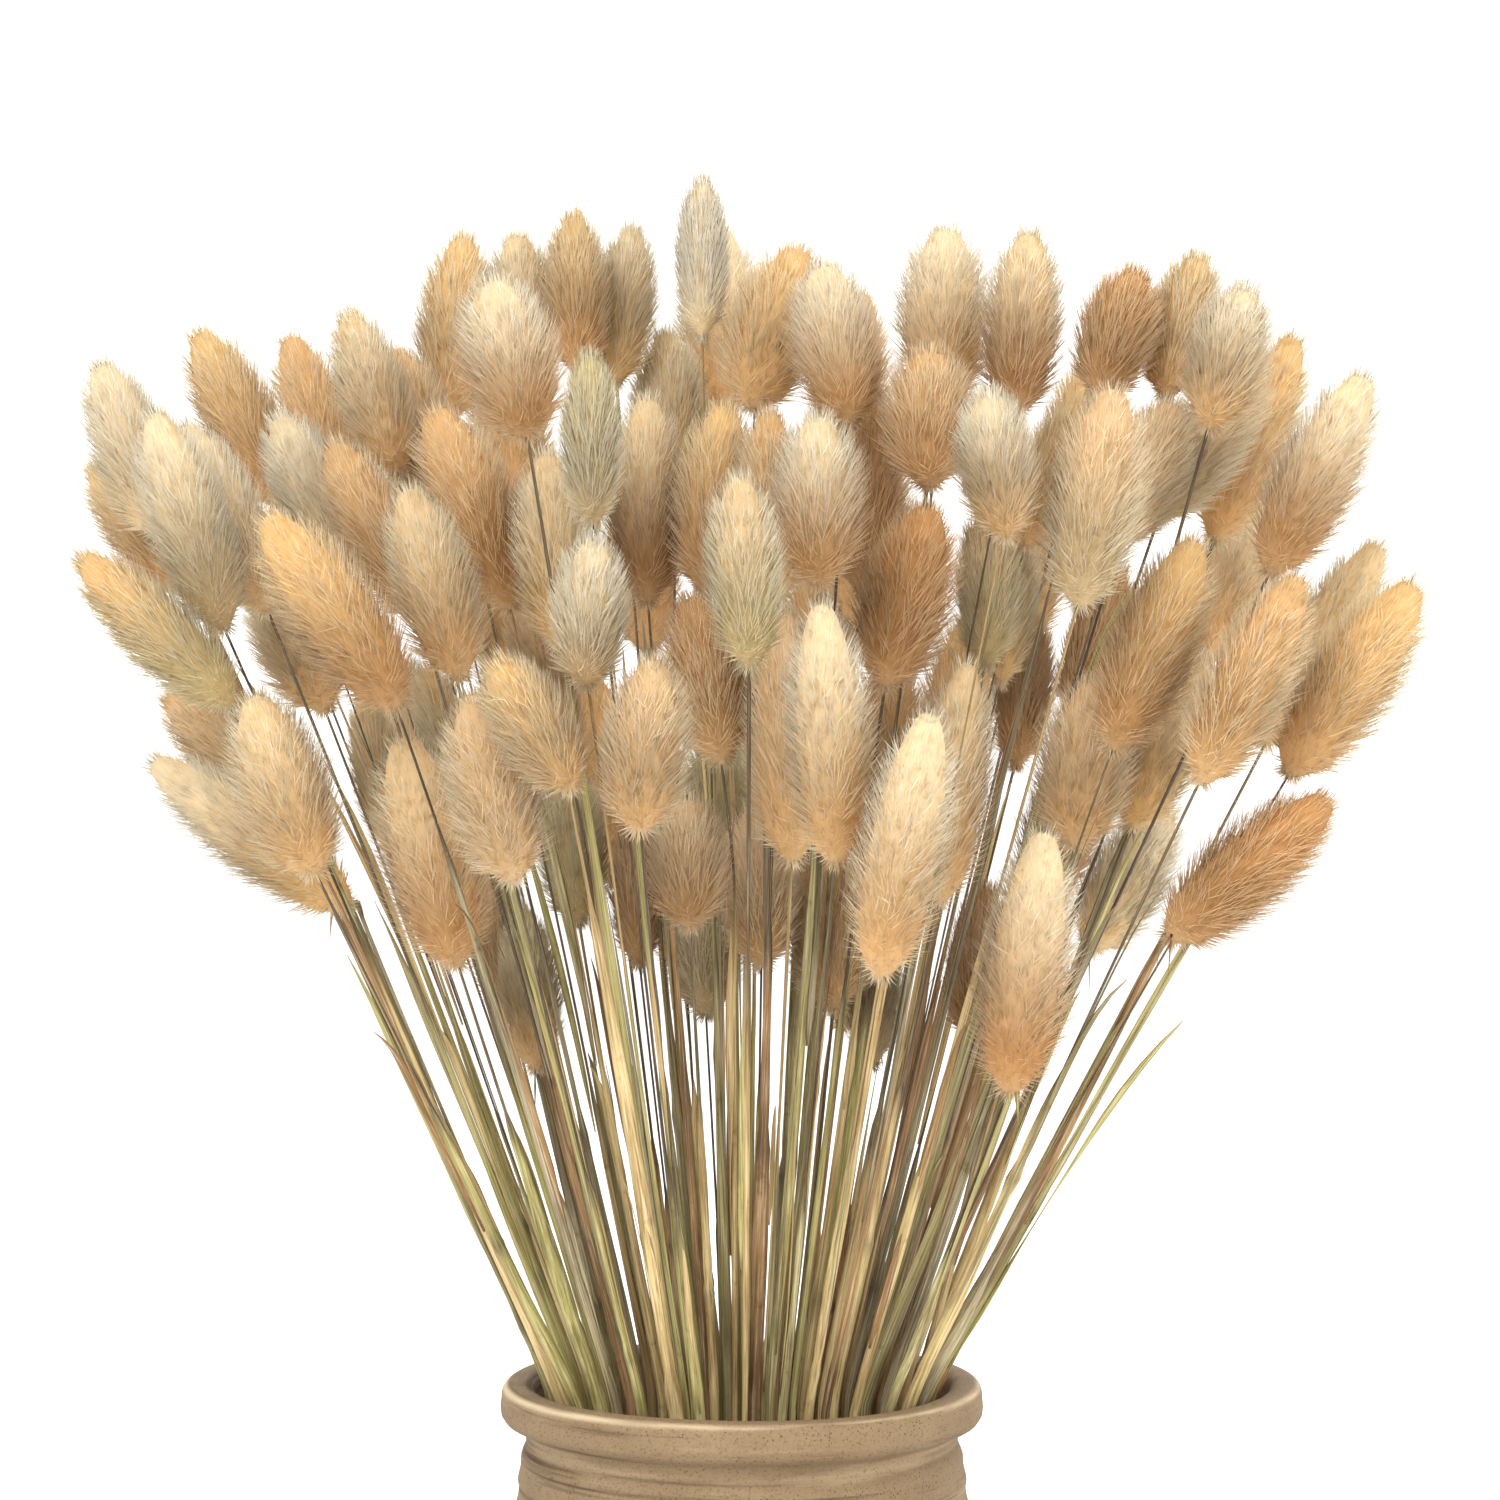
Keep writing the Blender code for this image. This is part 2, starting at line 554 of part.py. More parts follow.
def head_mesh(base, tip, radius, roll):
    """A spindle whose core faces are each raised to a point that leans to the tip: spikelets, larger than life."""
    shape = bmesh.new()
    bmesh.ops.create_uvsphere(shape, u_segments=HEAD_SIDES, v_segments=HEAD_RINGS, radius=1)
    length = (Vector(tip) - Vector(base)).length
    for vertex in shape.verts:
        share = (vertex.co.z + 1) / 2
        around = math.atan2(vertex.co.y, vertex.co.x) + share * math.pi / HEAD_SIDES * HEAD_RINGS
        reach = radius * (CORE_SHARE if 0.001 < share < 0.999 else 0) * spindle(share)
        vertex.co = (reach * math.cos(around), reach * math.sin(around), share**1.1 * length)
    sides = [face for face in shape.faces if len(face.verts) == 4]
    points = bmesh.ops.poke(shape, faces=sides)["verts"]
    for vertex in points:
        around = math.atan2(vertex.co.y, vertex.co.x)
        height = vertex.co.z + 0.05 * length
        reach = radius * 0.98 * spindle(height / length)
        vertex.co = (reach * math.cos(around), reach * math.sin(around), height)
    bmesh.ops.triangulate(shape, faces=shape.faces)
    bmesh.ops.recalc_face_normals(shape, faces=shape.faces)
    way = (Vector(tip) - Vector(base)).to_track_quat("Z", "Y").to_matrix().to_4x4()
    shape.transform(Matrix.Translation(base) @ way @ Matrix.Rotation(roll, 4, "Z"))
    mesh = bpy.data.meshes.new("head")
    shape.to_mesh(mesh)
    shape.free()
    return mesh


def spindle(share):
    """The width of a head along its length, widest a little below the middle."""
    return math.sin(math.pi * min(max(share, 0), 1) ** 0.78) ** 0.55


def largest_shell(mesh):
    """The outer shell alone, without the small hollows that fusing seals."""
    shape = bmesh.new()
    shape.from_mesh(mesh)
    left = set(shape.verts)
    shells = []
    while left:
        shell = {left.pop()}
        edge = list(shell)
        while edge:
            near = {link.other_vert(vertex) for vertex in edge for link in vertex.link_edges} & left
            left -= near
            shell |= near
            edge = list(near)
        shells.append(shell)
    shells.sort(key=len)
    for shell in shells[:-1]:
        if len(shell) < 12:
            bmesh.ops.delete(shape, geom=list(shell), context="VERTS")
    shape.to_mesh(mesh)
    shape.free()
    return mesh


def fuse(name, meshes, collection, finish):
    """One body from several closed meshes that overlap."""
    body = add_object(name, meshes[0], collection, finish)
    if len(meshes) > 1:
        others = bpy.data.collections.new(name + "_others")
        bpy.context.scene.collection.children.link(others)
        for mesh in meshes[1:]:
            add_object(name + "_other", mesh, others)
        union = body.modifiers.new("Union", "BOOLEAN")
        union.operation = "UNION"
        union.operand_type = "COLLECTION"
        union.collection = others
        union.solver = "MANIFOLD"
        joined = bpy.data.meshes.new_from_object(
            body.evaluated_get(bpy.context.evaluated_depsgraph_get())
        )
        body.modifiers.clear()
        body.data = largest_shell(joined)
        for other in list(others.objects):
            bpy.data.objects.remove(other)
        bpy.data.collections.remove(others)
    return body


def stem_mesh(points, radii, section):
    """A three-sided tube along the stem's points, thicker where dry sheaths wrap it."""
    curve = bpy.data.curves.new("stem", "CURVE")
    curve.dimensions = "3D"
    curve.bevel_mode = "OBJECT"
    curve.bevel_object = section
    curve.use_fill_caps = True
    spline = curve.splines.new("POLY")
    spline.points.add(len(points) - 1)
    for place, point, radius in zip(spline.points, points, radii):
        place.co = (*point, 1)
        place.radius = radius / SHEATH_RADIUS[1]
    tube = add_object("stem", curve, bpy.context.scene.collection)
    mesh = bpy.data.meshes.new_from_object(
        tube.evaluated_get(bpy.context.evaluated_depsgraph_get())
    )
    bpy.data.objects.remove(tube)
    shape = bmesh.new()
    shape.from_mesh(mesh)
    bmesh.ops.remove_doubles(shape, verts=shape.verts, dist=0.00001)
    bmesh.ops.recalc_face_normals(shape, faces=shape.faces)
    shape.to_mesh(mesh)
    shape.free()
    mesh.materials.clear()
    return mesh


def leaf_mesh(root, tip):
    """A flat pointed blade with its root sunk in the sheath."""
    shape = bmesh.new()
    length = (Vector(tip) - Vector(root)).length
    bmesh.ops.create_cone(shape, cap_ends=True, segments=4, radius1=1, radius2=0, depth=length)
    for vertex in shape.verts:
        vertex.co.x *= LEAF_HALF_WIDTH
        vertex.co.y *= LEAF_HALF_THICKNESS
        vertex.co.z += length / 2
    way = (Vector(tip) - Vector(root)).to_track_quat("Z", "Y").to_matrix().to_4x4()
    shape.transform(Matrix.Translation(root) @ way)
    mesh = bpy.data.meshes.new("leaf")
    shape.to_mesh(mesh)
    shape.free()
    return mesh


def section_of_stem():
    """The three-sided outline that is carried along every stem."""
    curve = bpy.data.curves.new("section", "CURVE")
    spline = curve.splines.new("POLY")
    spline.points.add(2)
    spline.use_cyclic_u = True
    for k, place in enumerate(spline.points):
        turn = 2 * math.pi * k / 3
        place.co = (SHEATH_RADIUS[1] * math.cos(turn), SHEATH_RADIUS[1] * math.sin(turn), 0, 1)
    section = add_object("section", curve, bpy.context.scene.collection)
    section.hide_render = True
    section.display_type = "WIRE"
    return section


def make_stalks(bouquet, collection):
    """Each bunch of one or two stalks, with their heads and leaf blades, as one solid."""
    grass = {tone: material("grass_" + tone, FUR_COLOURS[tone], 0.95) for tone in TONES}
    section = section_of_stem()
    for number in range(BUNCHES):
        meshes = []
        stalks = np.nonzero(bouquet["bunch"] == number)[0]
        for k in stalks:
            meshes.append(stem_mesh(bouquet["routes"][k], bouquet["radii"][k], section))
            ends = bouquet["base"][k], bouquet["tip"][k]
            meshes.append(head_mesh(*ends, bouquet["radius"][k], k * GOLDEN_TURN))
            if k in bouquet["leaves"]:
                meshes.append(leaf_mesh(*bouquet["leaves"][k]))
        tone = bouquet["tones"][stalks[0]]
        fuse(f"stalks_{number + 1:02d}", meshes, collection, grass[tone])
    bpy.data.objects.remove(section)


def main():
    for obj in list(bpy.data.objects):
        bpy.data.objects.remove(obj)
    collection = bpy.data.collections.new(OBJECT_NAME)
    bpy.context.scene.collection.children.link(collection)
    make_vase(collection)
    bouquet = arrange()
    make_stalks(bouquet, collection)


main()
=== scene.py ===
import math

import bpy
import numpy as np
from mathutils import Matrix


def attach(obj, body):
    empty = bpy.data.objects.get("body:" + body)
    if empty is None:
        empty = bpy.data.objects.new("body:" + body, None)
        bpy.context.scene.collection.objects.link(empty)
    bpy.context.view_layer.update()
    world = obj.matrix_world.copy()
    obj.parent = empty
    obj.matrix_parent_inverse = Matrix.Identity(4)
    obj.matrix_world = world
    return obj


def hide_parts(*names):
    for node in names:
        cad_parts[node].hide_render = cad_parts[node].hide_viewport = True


mm = 0.001
goldenTurn = math.pi * (3 - math.sqrt(5))

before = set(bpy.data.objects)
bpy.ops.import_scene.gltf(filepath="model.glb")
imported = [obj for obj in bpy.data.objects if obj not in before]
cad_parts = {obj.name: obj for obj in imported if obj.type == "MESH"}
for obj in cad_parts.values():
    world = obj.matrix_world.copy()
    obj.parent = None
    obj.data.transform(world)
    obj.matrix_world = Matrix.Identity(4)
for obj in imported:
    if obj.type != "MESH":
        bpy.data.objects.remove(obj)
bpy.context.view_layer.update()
print("frame loaded:", len(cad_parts), "nodes")


photoView = {
    "eyeDistance": 1150 * mm,
    "eyeHeight": 395 * mm,
    "aim": (2 * mm, 0.0, 343.75 * mm),
    "lens": 110.4,
    "sensor": 36,
    "clipStart": 0.05,
}
studio = {
    "lamps": {  # watts, place and size
        "key": (44, (-0.9, -1.8, 1.6), 1.6),
        "fill": (21, (1.5, -1.2, 0.9), 1.8),
        "back": (20, (0.4, 1.6, 1.5), 1.5),
    },
    "lampAim": (0, 0, 0.3),
    "skyColour": (1.0, 0.995, 0.985, 1),
    "skyStrength": 1.5,
    "floorSize": 12,
    "floorFinish": {
        "Base Color": (0.78, 0.78, 0.775, 1),
        "Roughness": 0.9,
        "Emission Color": (1, 1, 1, 1),
        "Emission Strength": 0.06,
    },
}


# Turns an object so that its -Z looks at the target.
def pointAt(obj, target):
    way = np.array(target) - np.array(obj.location)
    flat = math.hypot(way[0], way[1])
    obj.rotation_euler = (math.atan2(flat, -way[2]), 0, math.atan2(-way[0], way[1]))


def addObject(name, data):
    obj = bpy.data.objects.new(name, data)
    bpy.context.scene.collection.objects.link(obj)
    return obj


# A new material whose shader's sockets are set by name.
def newMaterial(name, finish):
    material = bpy.data.materials.new(name)
    material.use_nodes = True
    tree = material.node_tree
    shader = tree.nodes["Principled BSDF"]
    for socket, value in finish.items():
        shader.inputs[socket].default_value = value
    return material, tree, shader


def addCamera():
    camera = addObject("photo_camera", bpy.data.cameras.new("photo_camera"))
    camera.location = (0, -photoView["eyeDistance"], photoView["eyeHeight"])
    camera.data.lens = photoView["lens"]
    camera.data.sensor_width = photoView["sensor"]
    camera.data.clip_start = photoView["clipStart"]
    pointAt(camera, photoView["aim"])
    bpy.context.scene.camera = camera


def addLights():
    for name, (power, place, width) in studio["lamps"].items():
        lamp = addObject(name + "_light", bpy.data.lights.new(name + "_light", "AREA"))
        lamp.data.shape = "DISK"
        lamp.data.size = width
        lamp.data.energy = power
        lamp.location = place
        pointAt(lamp, studio["lampAim"])
    sky = bpy.data.worlds.new("pale_studio")
    sky.use_nodes = True
    glow = sky.node_tree.nodes["Background"].inputs
    glow["Color"].default_value = studio["skyColour"]
    glow["Strength"].default_value = studio["skyStrength"]
    bpy.context.scene.world = sky
    bpy.context.scene.view_settings.view_transform = "Standard"


def addFloor():
    half = studio["floorSize"] / 2
    plane = bpy.data.meshes.new("studio_floor")
    corners = [(-half, -half, 0), (half, -half, 0), (half, half, 0), (-half, half, 0)]
    plane.from_pydata(corners, [], [(0, 1, 2, 3)])
    plane.materials.append(newMaterial("pale_paper", studio["floorFinish"])[0])
    floor = addObject("studio_floor", plane)


addCamera()
addLights()
addFloor()
print("camera, light and floor ready")


bouquet = {
    "seed": 11,
    "gap": 0.4 * mm,
    "rimHeight": 185 * mm,
    "floorThickness": 8 * mm,
    "eyeAboveRim": 210 * mm,
    "domeHalfWidth": 182 * mm,
    "domeHalfDepth": 132 * mm,
    "domeHalfHeight": 128 * mm,
    "domeMiddle": 185 * mm,
    "frontRow": 0.95,
    "rowStep": 0.6,
    "fanPoint": 90 * mm,  # how far below the rim the stalks' directions would meet
    "solidShare": 0.94,
    "hiddenLength": 42 * mm,
    "neckLength": 26 * mm,
    "neckRoom": 1.3 * mm,
    "rearHeads": 24,
    "rearHalfWidth": 132 * mm,
    "rearHalfHeight": 82 * mm,
    "rearMiddle": 192 * mm,
    "rearHalfLength": (24, 29),
    "rearWidth": (19, 23),
    "bunches": 59,
    "otherToneCost": 4 * mm,
    "sheathRadius": (1.3 * mm, 2.0 * mm),
    "sheathShares": (1, 1, 0.95, 0.75, 0.3, 0, 0),
    "stalkRadius": 0.65 * mm,
    "stemReach": 50.2 * mm,
    "straightness": 0.6,
    "lowBend": 0.38,
    "highBend": 0.3,
    "mouthStretch": 1.25,
    "mouthSpacing": 5.2 * mm,
    "footSpread": 0.55,
    "footSpacing": 5.6 * mm,
    "footTouch": 0.7 * mm,
    "rootSunk": 4 * mm,
    "stepsAbove": 5,
    "mouthStep": 1,
    "headRounds": 300,
    "sidewaysShare": 0.15,
    "homePull": (0.08, 0.008, 0.08),
    "spacingRounds": 250,
    "stemRounds": 240,
}
tones = ("cream", "tan", "brown", "olive")

# mm from the vase's axis and above its rim: tip x, tip z, base x, base z, and width; then the row,
# its slot, and the upper and lower shade
leftHeads = (
    (-161, 257, -144, 211, 20, 1, "cream ivory cream"),
    (-162, 231, -139, 201, 18, 2, "tan gold russet"),
    (-137, 265, -115, 219, 20, 1.5, "tan gold brown"),
    (-147, 245, -129, 188, 21, 0, "cream ivory grey"),
    (-140, 241, -118, 192, 20, 0.5, "cream ivory pink"),
    (-120, 219, -85, 169, 24, 0, "brown gold brown"),
    (-120, 204, -104, 168, 21, 1, "tan cream tan"),
    (-165, 209, -125, 170, 19, 0, "tan gold olive"),
    (-144, 174, -114, 146, 18, 2, "tan tan tan"),
    (-123, 174, -107, 127, 24, 0, "cream cream tan"),
    (-150, 157, -98, 118, 20, 1, "cream ivory gold"),
    (-99, 270, -86, 227, 18, 1, "cream cream tan"),
    (-87, 260, -77, 225, 19, 1.5, "brown tan brown"),
    (-117, 244, -99, 205, 19, 1, "cream ivory cream"),
    (-103, 237, -79, 191, 21, 1, "brown tan brown"),
    (-84, 226, -70, 176, 21, 0.5, "tan cream tan"),
    (-78, 246, -57, 193, 24, 1, "tan tan brown"),
)
crownHeads = (
    (-68, 288, -73, 239, 19, 2, "tan gold tan"),
    (-57, 289, -54, 246, 19, 2, "cream cream tan"),
    (-63, 278, -53, 236, 24, 0, "brown ivory brown"),
    (-40, 293, -39, 259, 16, 2, "tan gold russet"),
    (-28, 291, -32, 257, 16, 2, "tan cream gold"),
    (-38, 259, -37, 214, 15, 0, "olive olive grey"),
    (-49, 235, -45, 184, 20, 1, "cream cream gold"),
    (-37, 213, -39, 174, 19, 0, "cream ivory cream"),
    (-20, 265, -18, 234, 18, 2, "cream cream gold"),
    (-22, 249, -22, 194, 20, 1, "brown cream umber"),
    (-5, 246, -10, 196, 21, 1, "brown gold brown"),
    (-10, 303, -10, 264, 13, 1.5, "cream ivory ivory"),
    (-1, 229, 2, 179, 19, 0, "olive cream olive"),
    (5, 245, 8, 196, 18, 1, "tan tan tan"),
    (15, 286, 2, 243, 24, 1.5, "tan gold tan"),
    (20, 282, 27, 239, 22, 1, "brown ivory brown"),
    (19, 244, 19, 199, 23, 0.5, "cream ivory brown"),
    (33, 251, 31, 196, 18, 1.5, "brown brown umber"),
    (51, 291, 50, 244, 24, 1.5, "tan ivory tan"),
    (46, 260, 46, 223, 24, 1, "brown tan brown"),
    (72, 290, 68, 241, 20, 1, "brown cream umber"),
    (61, 250, 66, 211, 20, 0, "cream ivory tan"),
    (48, 222, 36, 174, 24, 1, "brown russet brown"),
    (61, 221, 61, 185, 16, 1.5, "tan gold olive"),
    (72, 216, 68, 182, 14, 2, "cream cream gold"),
)
rightHeads = (
    (99, 280, 89, 246, 20, 1, "brown russet brown"),
    (115, 284, 106, 246, 18, 1, "tan gold tan"),
    (126, 276, 116, 238, 20, 0, "cream ivory tan"),
    (109, 247, 93, 209, 20, 1, "cream pink pink"),
    (130, 257, 102, 216, 20, 1, "olive pink grey"),
    (139, 264, 118, 210, 20, 1.5, "tan gold tan"),
    (156, 254, 131, 202, 22, 0, "cream ivory brown"),
    (93, 251, 84, 194, 24, 0, "olive pink grey"),
    (86, 246, 72, 215, 19, 2, "tan gold tan"),
    (114, 213, 92, 158, 23, 0.5, "brown gold brown"),
    (95, 206, 88, 184, 15, 2, "brown russet brown"),
    (140, 204, 114, 150, 22, 0, "tan tan tan"),
    (161, 212, 131, 159, 20, 1, "cream cream gold"),
    (169, 202, 136, 152, 24, 0, "tan gold tan"),
    (148, 148, 106, 111, 22, 0, "brown russet brown"),
    (115, 185, 97, 138, 21, 1, "cream cream gold"),
    (89, 178, 83, 134, 24, 1, "tan pink tan"),
    (107, 146, 86, 108, 20, 2, "cream ivory cream"),
    (76, 140, 67, 72, 24, 0, "brown ivory russet"),
    (62, 126, 58, 94, 15, 1.5, "brown brown umber"),
    (71, 196, 67, 156, 15, 2, "brown tan brown"),
)
middleHeads = (
    (20, 197, 24, 129, 22, 0, "tan ivory tan"),
    (47, 170, 34, 102, 23, 0, "cream ivory tan"),
    (56, 183, 49, 120, 19, 1, "tan cream tan"),
    (36, 186, 37, 131, 20, 1.5, "brown tan brown"),
    (19, 134, 22, 98, 21, 1.5, "tan tan tan"),
    (34, 121, 33, 97, 14, 2, "olive olive grey"),
    (8, 196, 11, 131, 21, 1, "tan pink tan"),
    (-22, 183, -26, 138, 22, 0, "tan pink tan"),
    (-63, 183, -42, 149, 20, 0, "tan gold tan"),
    (-68, 174, -57, 125, 24, 0, "cream pink pink"),
    (-85, 164, -71, 104, 26, 0.5, "brown cream brown"),
    (-95, 174, -91, 152, 12, 2, "tan gold gold"),
    (-80, 179, -72, 155, 14, 2, "olive gold olive"),
    (-57, 196, -49, 174, 15, 2, "brown tan brown"),
    (-12, 200, -4, 156, 22, 1, "brown brown tan"),
    (-6, 166, -7, 137, 18, 2, "olive olive olive"),
    (-13, 149, -12, 114, 20, 1, "brown pink brown"),
    (-26, 146, -26, 112, 14, 2, "brown brown brown"),
    (-9, 134, -9, 107, 19, 2, "olive olive grey"),
    (4, 146, 6, 107, 20, 1.5, "tan pink tan"),
    (-54, 121, -52, 94, 15, 2, "olive olive tan"),
    (-44, 156, -42, 128, 18, 2, "olive olive olive"),
    (-63, 134, -59, 99, 15, 2, "brown tan brown"),
)
rearShades = ("cream ivory tan", "tan gold tan", "brown tan brown")


def dot(a, b):
    return a[..., 0] * b[..., 0] + a[..., 1] * b[..., 1] + a[..., 2] * b[..., 2]


def size(a):
    return np.sqrt(dot(a, a))


def along(start, end, share):
    return start + (end - start) * np.asarray(share)[..., None]


# How far along each of two straight runs they come nearest, and the way from one to the other.
def nearest(startA, endA, startB, endB):
    runA, runB, between = endA - startA, endB - startB, startA - startB
    aa, bb, ab = dot(runA, runA), dot(runB, runB), dot(runA, runB)
    aBetween, bBetween = dot(runA, between), dot(runB, between)
    slant = np.maximum(aa * bb - ab * ab, 1e-14)
    shareA = np.clip((ab * bBetween - aBetween * bb) / slant, 0, 1)
    shareB = np.clip((ab * shareA + bBetween) / bb, 0, 1)
    shareA = np.clip((ab * shareB - aBetween) / aa, 0, 1)
    way = along(startB, endB, shareB) - along(startA, endA, shareA)
    return shareA, shareB, way


# The point at this depth on the line of sight through (x, z) of the upright plane.
def seenAt(x, z, depth):
    share = (photoView["eyeDistance"] + depth) / photoView["eyeDistance"]
    eye = bouquet["eyeAboveRim"]
    return np.stack([x * share, depth, eye + (z - eye) * share], -1)


# Heads on a sunflower spiral over the far side, each leaning out from the vase.
def rearHeads(random):
    rows = []
    for k in range(bouquet["rearHeads"]):
        reach = math.sqrt((k + 0.6) / bouquet["rearHeads"])
        x = bouquet["rearHalfWidth"] * reach * math.cos(k * goldenTurn)
        z = bouquet["rearMiddle"] + bouquet["rearHalfHeight"] * reach * math.sin(k * goldenTurn)
        outX, outZ = x, z + bouquet["fanPoint"]
        half = random.uniform(*bouquet["rearHalfLength"]) * mm / math.sqrt(outX * outX + outZ * outZ)
        width = random.uniform(*bouquet["rearWidth"]) * mm
        words = rearShades[int(random.integers(0, len(rearShades)))]
        ends = (x + outX * half, z + outZ * half, x - outX * half, z - outZ * half)
        rows.append(ends + (width, 2.4 + 0.35 * (k % 3), words))
    return rows


# Both ends, the solid's radius and the colour words of every head, at the depth of its row in a dome.
def readHeads():
    rows = leftHeads + crownHeads + rightHeads + middleHeads
    rows = [tuple(v * mm for v in row[:5]) + row[5:] for row in rows]
    rows += rearHeads(np.random.default_rng(bouquet["seed"]))
    tipX, tipZ, baseX, baseZ, width, row = np.array([row[:6] for row in rows]).T
    words = [row[6].split() for row in rows]
    length = np.hypot(tipX - baseX, tipZ - baseZ)
    longer = np.where(row >= 1.5, np.maximum(bouquet["hiddenLength"] / length, 1), 1)
    baseX = tipX + (baseX - tipX) * longer
    baseZ = tipZ + (baseZ - tipZ) * longer
    x = (tipX + baseX) / 2
    z = (tipZ + baseZ) / 2
    high = (z - bouquet["domeMiddle"]) / bouquet["domeHalfHeight"]
    edge = (x / bouquet["domeHalfWidth"]) ** 2 + high**2
    rowDepth = bouquet["domeHalfDepth"] * (bouquet["rowStep"] * row - bouquet["frontRow"])
    depth = rowDepth * np.sqrt(np.maximum(1 - edge, 0.15))
    lean = depth * length * longer / 2 / (z + bouquet["fanPoint"])
    base = seenAt(baseX, baseZ, depth - lean)
    tip = seenAt(tipX, tipZ, depth + lean)
    distance = photoView["eyeDistance"]
    radius = bouquet["solidShare"] * width / 2 * (distance + depth) / distance
    return base, tip, radius, words


# The straight run whose points lie one radius inside the head's ends.
def innerRun(base, tip, radius):
    axis = (tip - base) / size(tip - base)[:, None]
    inset = np.minimum(radius * 0.85, size(tip - base) * 0.45)[:, None] * axis
    return base + inset, tip - inset, axis


# Adds to each pair's moves so that they come to lie this far apart, mostly by moving them in depth.
def press(move, first, second, way, want, order, sideways):
    flat = np.hypot(way[:, 0], way[:, 2])
    side = np.where(np.abs(way[:, 1]) > mm, np.sign(way[:, 1]), order)
    step = np.sqrt(np.maximum(want * want - flat * flat, 0)) - way[:, 1] * side
    step = np.clip(step, 0, 3 * mm) * 0.35
    share = np.maximum(want - size(way), 0) / np.maximum(flat, mm) * sideways
    shift = np.stack([way[:, 0] * share, side * step, way[:, 2] * share], 1)
    np.add.at(move, first, -shift)
    np.add.at(move, second, shift)


# Moves whole heads, mostly in depth, until none presses into another head or its neck.
def partHeads(base, tip, radius):
    rounds = bouquet["headRounds"]
    count = len(radius)
    first, second = np.triu_indices(count, 1)
    want = radius[first] + radius[second] + bouquet["gap"]
    necks, bodies = np.nonzero(~np.eye(count, dtype=bool))
    wantNeck = radius[bodies] + bouquet["neckRoom"] + 2 * bouquet["gap"]
    home = base.copy()
    axisOf = tip - base
    for turn in range(rounds):
        tip = base + axisOf
        sideways = bouquet["sidewaysShare"] if turn > rounds * 0.6 else 0.0
        low, high, axis = innerRun(base, tip, radius)
        foot = base - axis * bouquet["neckLength"]
        move = np.zeros_like(base)
        heads = (first, second, low, high, want)
        for one, other, start, end, room in (heads, (necks, bodies, foot, base, wantNeck)):
            way = nearest(start[one], end[one], low[other], high[other])[2]
            order = np.where(home[other, 1] >= home[one, 1], 1.0, -1.0)
            press(move, one, other, way, room, order, sideways)
        pull = np.array(bouquet["homePull"]) * (1.0 if turn < rounds * 0.8 else 0.0)
        base = base + np.clip(move, -4 * mm, 4 * mm) + (home - base) * pull
    return base, base + axisOf


# Moves places apart in a disc until no two are nearer than this spacing.
def spaceOut(place, spacing, reach):
    first, second = np.triu_indices(len(place), 1)
    for _ in range(bouquet["spacingRounds"]):
        way = place[second] - place[first]
        apart = np.maximum(np.hypot(way[:, 0], way[:, 1]), 1e-6)
        shift = way * (np.maximum(spacing - apart, 0) * 0.4 / apart)[:, None]
        np.add.at(place, first, -shift)
        np.add.at(place, second, shift)
        place = place * np.minimum(reach / np.hypot(place[:, 0], place[:, 1]), 1)[:, None]
    return place


# Where each stem crosses the mouth: in the order that the heads fan out, none on another.
def stemPlaces(base):
    reach = bouquet["stemReach"]
    place = base[:, :2] / (base[:, 2] + bouquet["fanPoint"])[:, None]
    place = place * (reach * 0.97 / np.hypot(place[:, 0], place[:, 1]).max())
    place = place * np.array([bouquet["mouthStretch"], 1])
    return spaceOut(place, bouquet["mouthSpacing"], reach - bouquet["sheathRadius"][1])


# The number of each stem's bunch: the nearest neighbours are paired until few enough bunches are left.
def pickBunches(place, words):
    tone = np.array([tones.index(word[0]) for word in words])
    first, second = np.triu_indices(len(place), 1)
    way = place[second] - place[first]
    cost = np.hypot(way[:, 0], way[:, 1]) + bouquet["otherToneCost"] * (tone[first] != tone[second])
    mate = {}
    for k in np.argsort(np.round(cost, 6), kind="stable"):
        a, b = int(first[k]), int(second[k])
        if a not in mate and b not in mate and len(place) - len(mate) // 2 > bouquet["bunches"]:
            mate[a], mate[b] = b, a
    leader = [min(k, mate.get(k, k)) for k in range(len(place))]
    leaders = sorted(set(leader))
    return np.array([leaders.index(k) for k in leader])


# Where each stem stands on the floor: the two of a bunch touch, and the bunches are spaced out.
def stemFeet(place, bunch):
    middle = np.stack([place[bunch == number].mean(axis=0) for number in range(bouquet["bunches"])])
    spread = bouquet["footSpread"]
    stand = spaceOut(middle * spread, bouquet["footSpacing"], bouquet["stemReach"] * spread * 1.15)
    out = place - middle[bunch]
    reach = np.maximum(np.hypot(out[:, 0], out[:, 1]), mm)
    return stand[bunch] + out / reach[:, None] * np.minimum(reach, bouquet["footTouch"])[:, None]


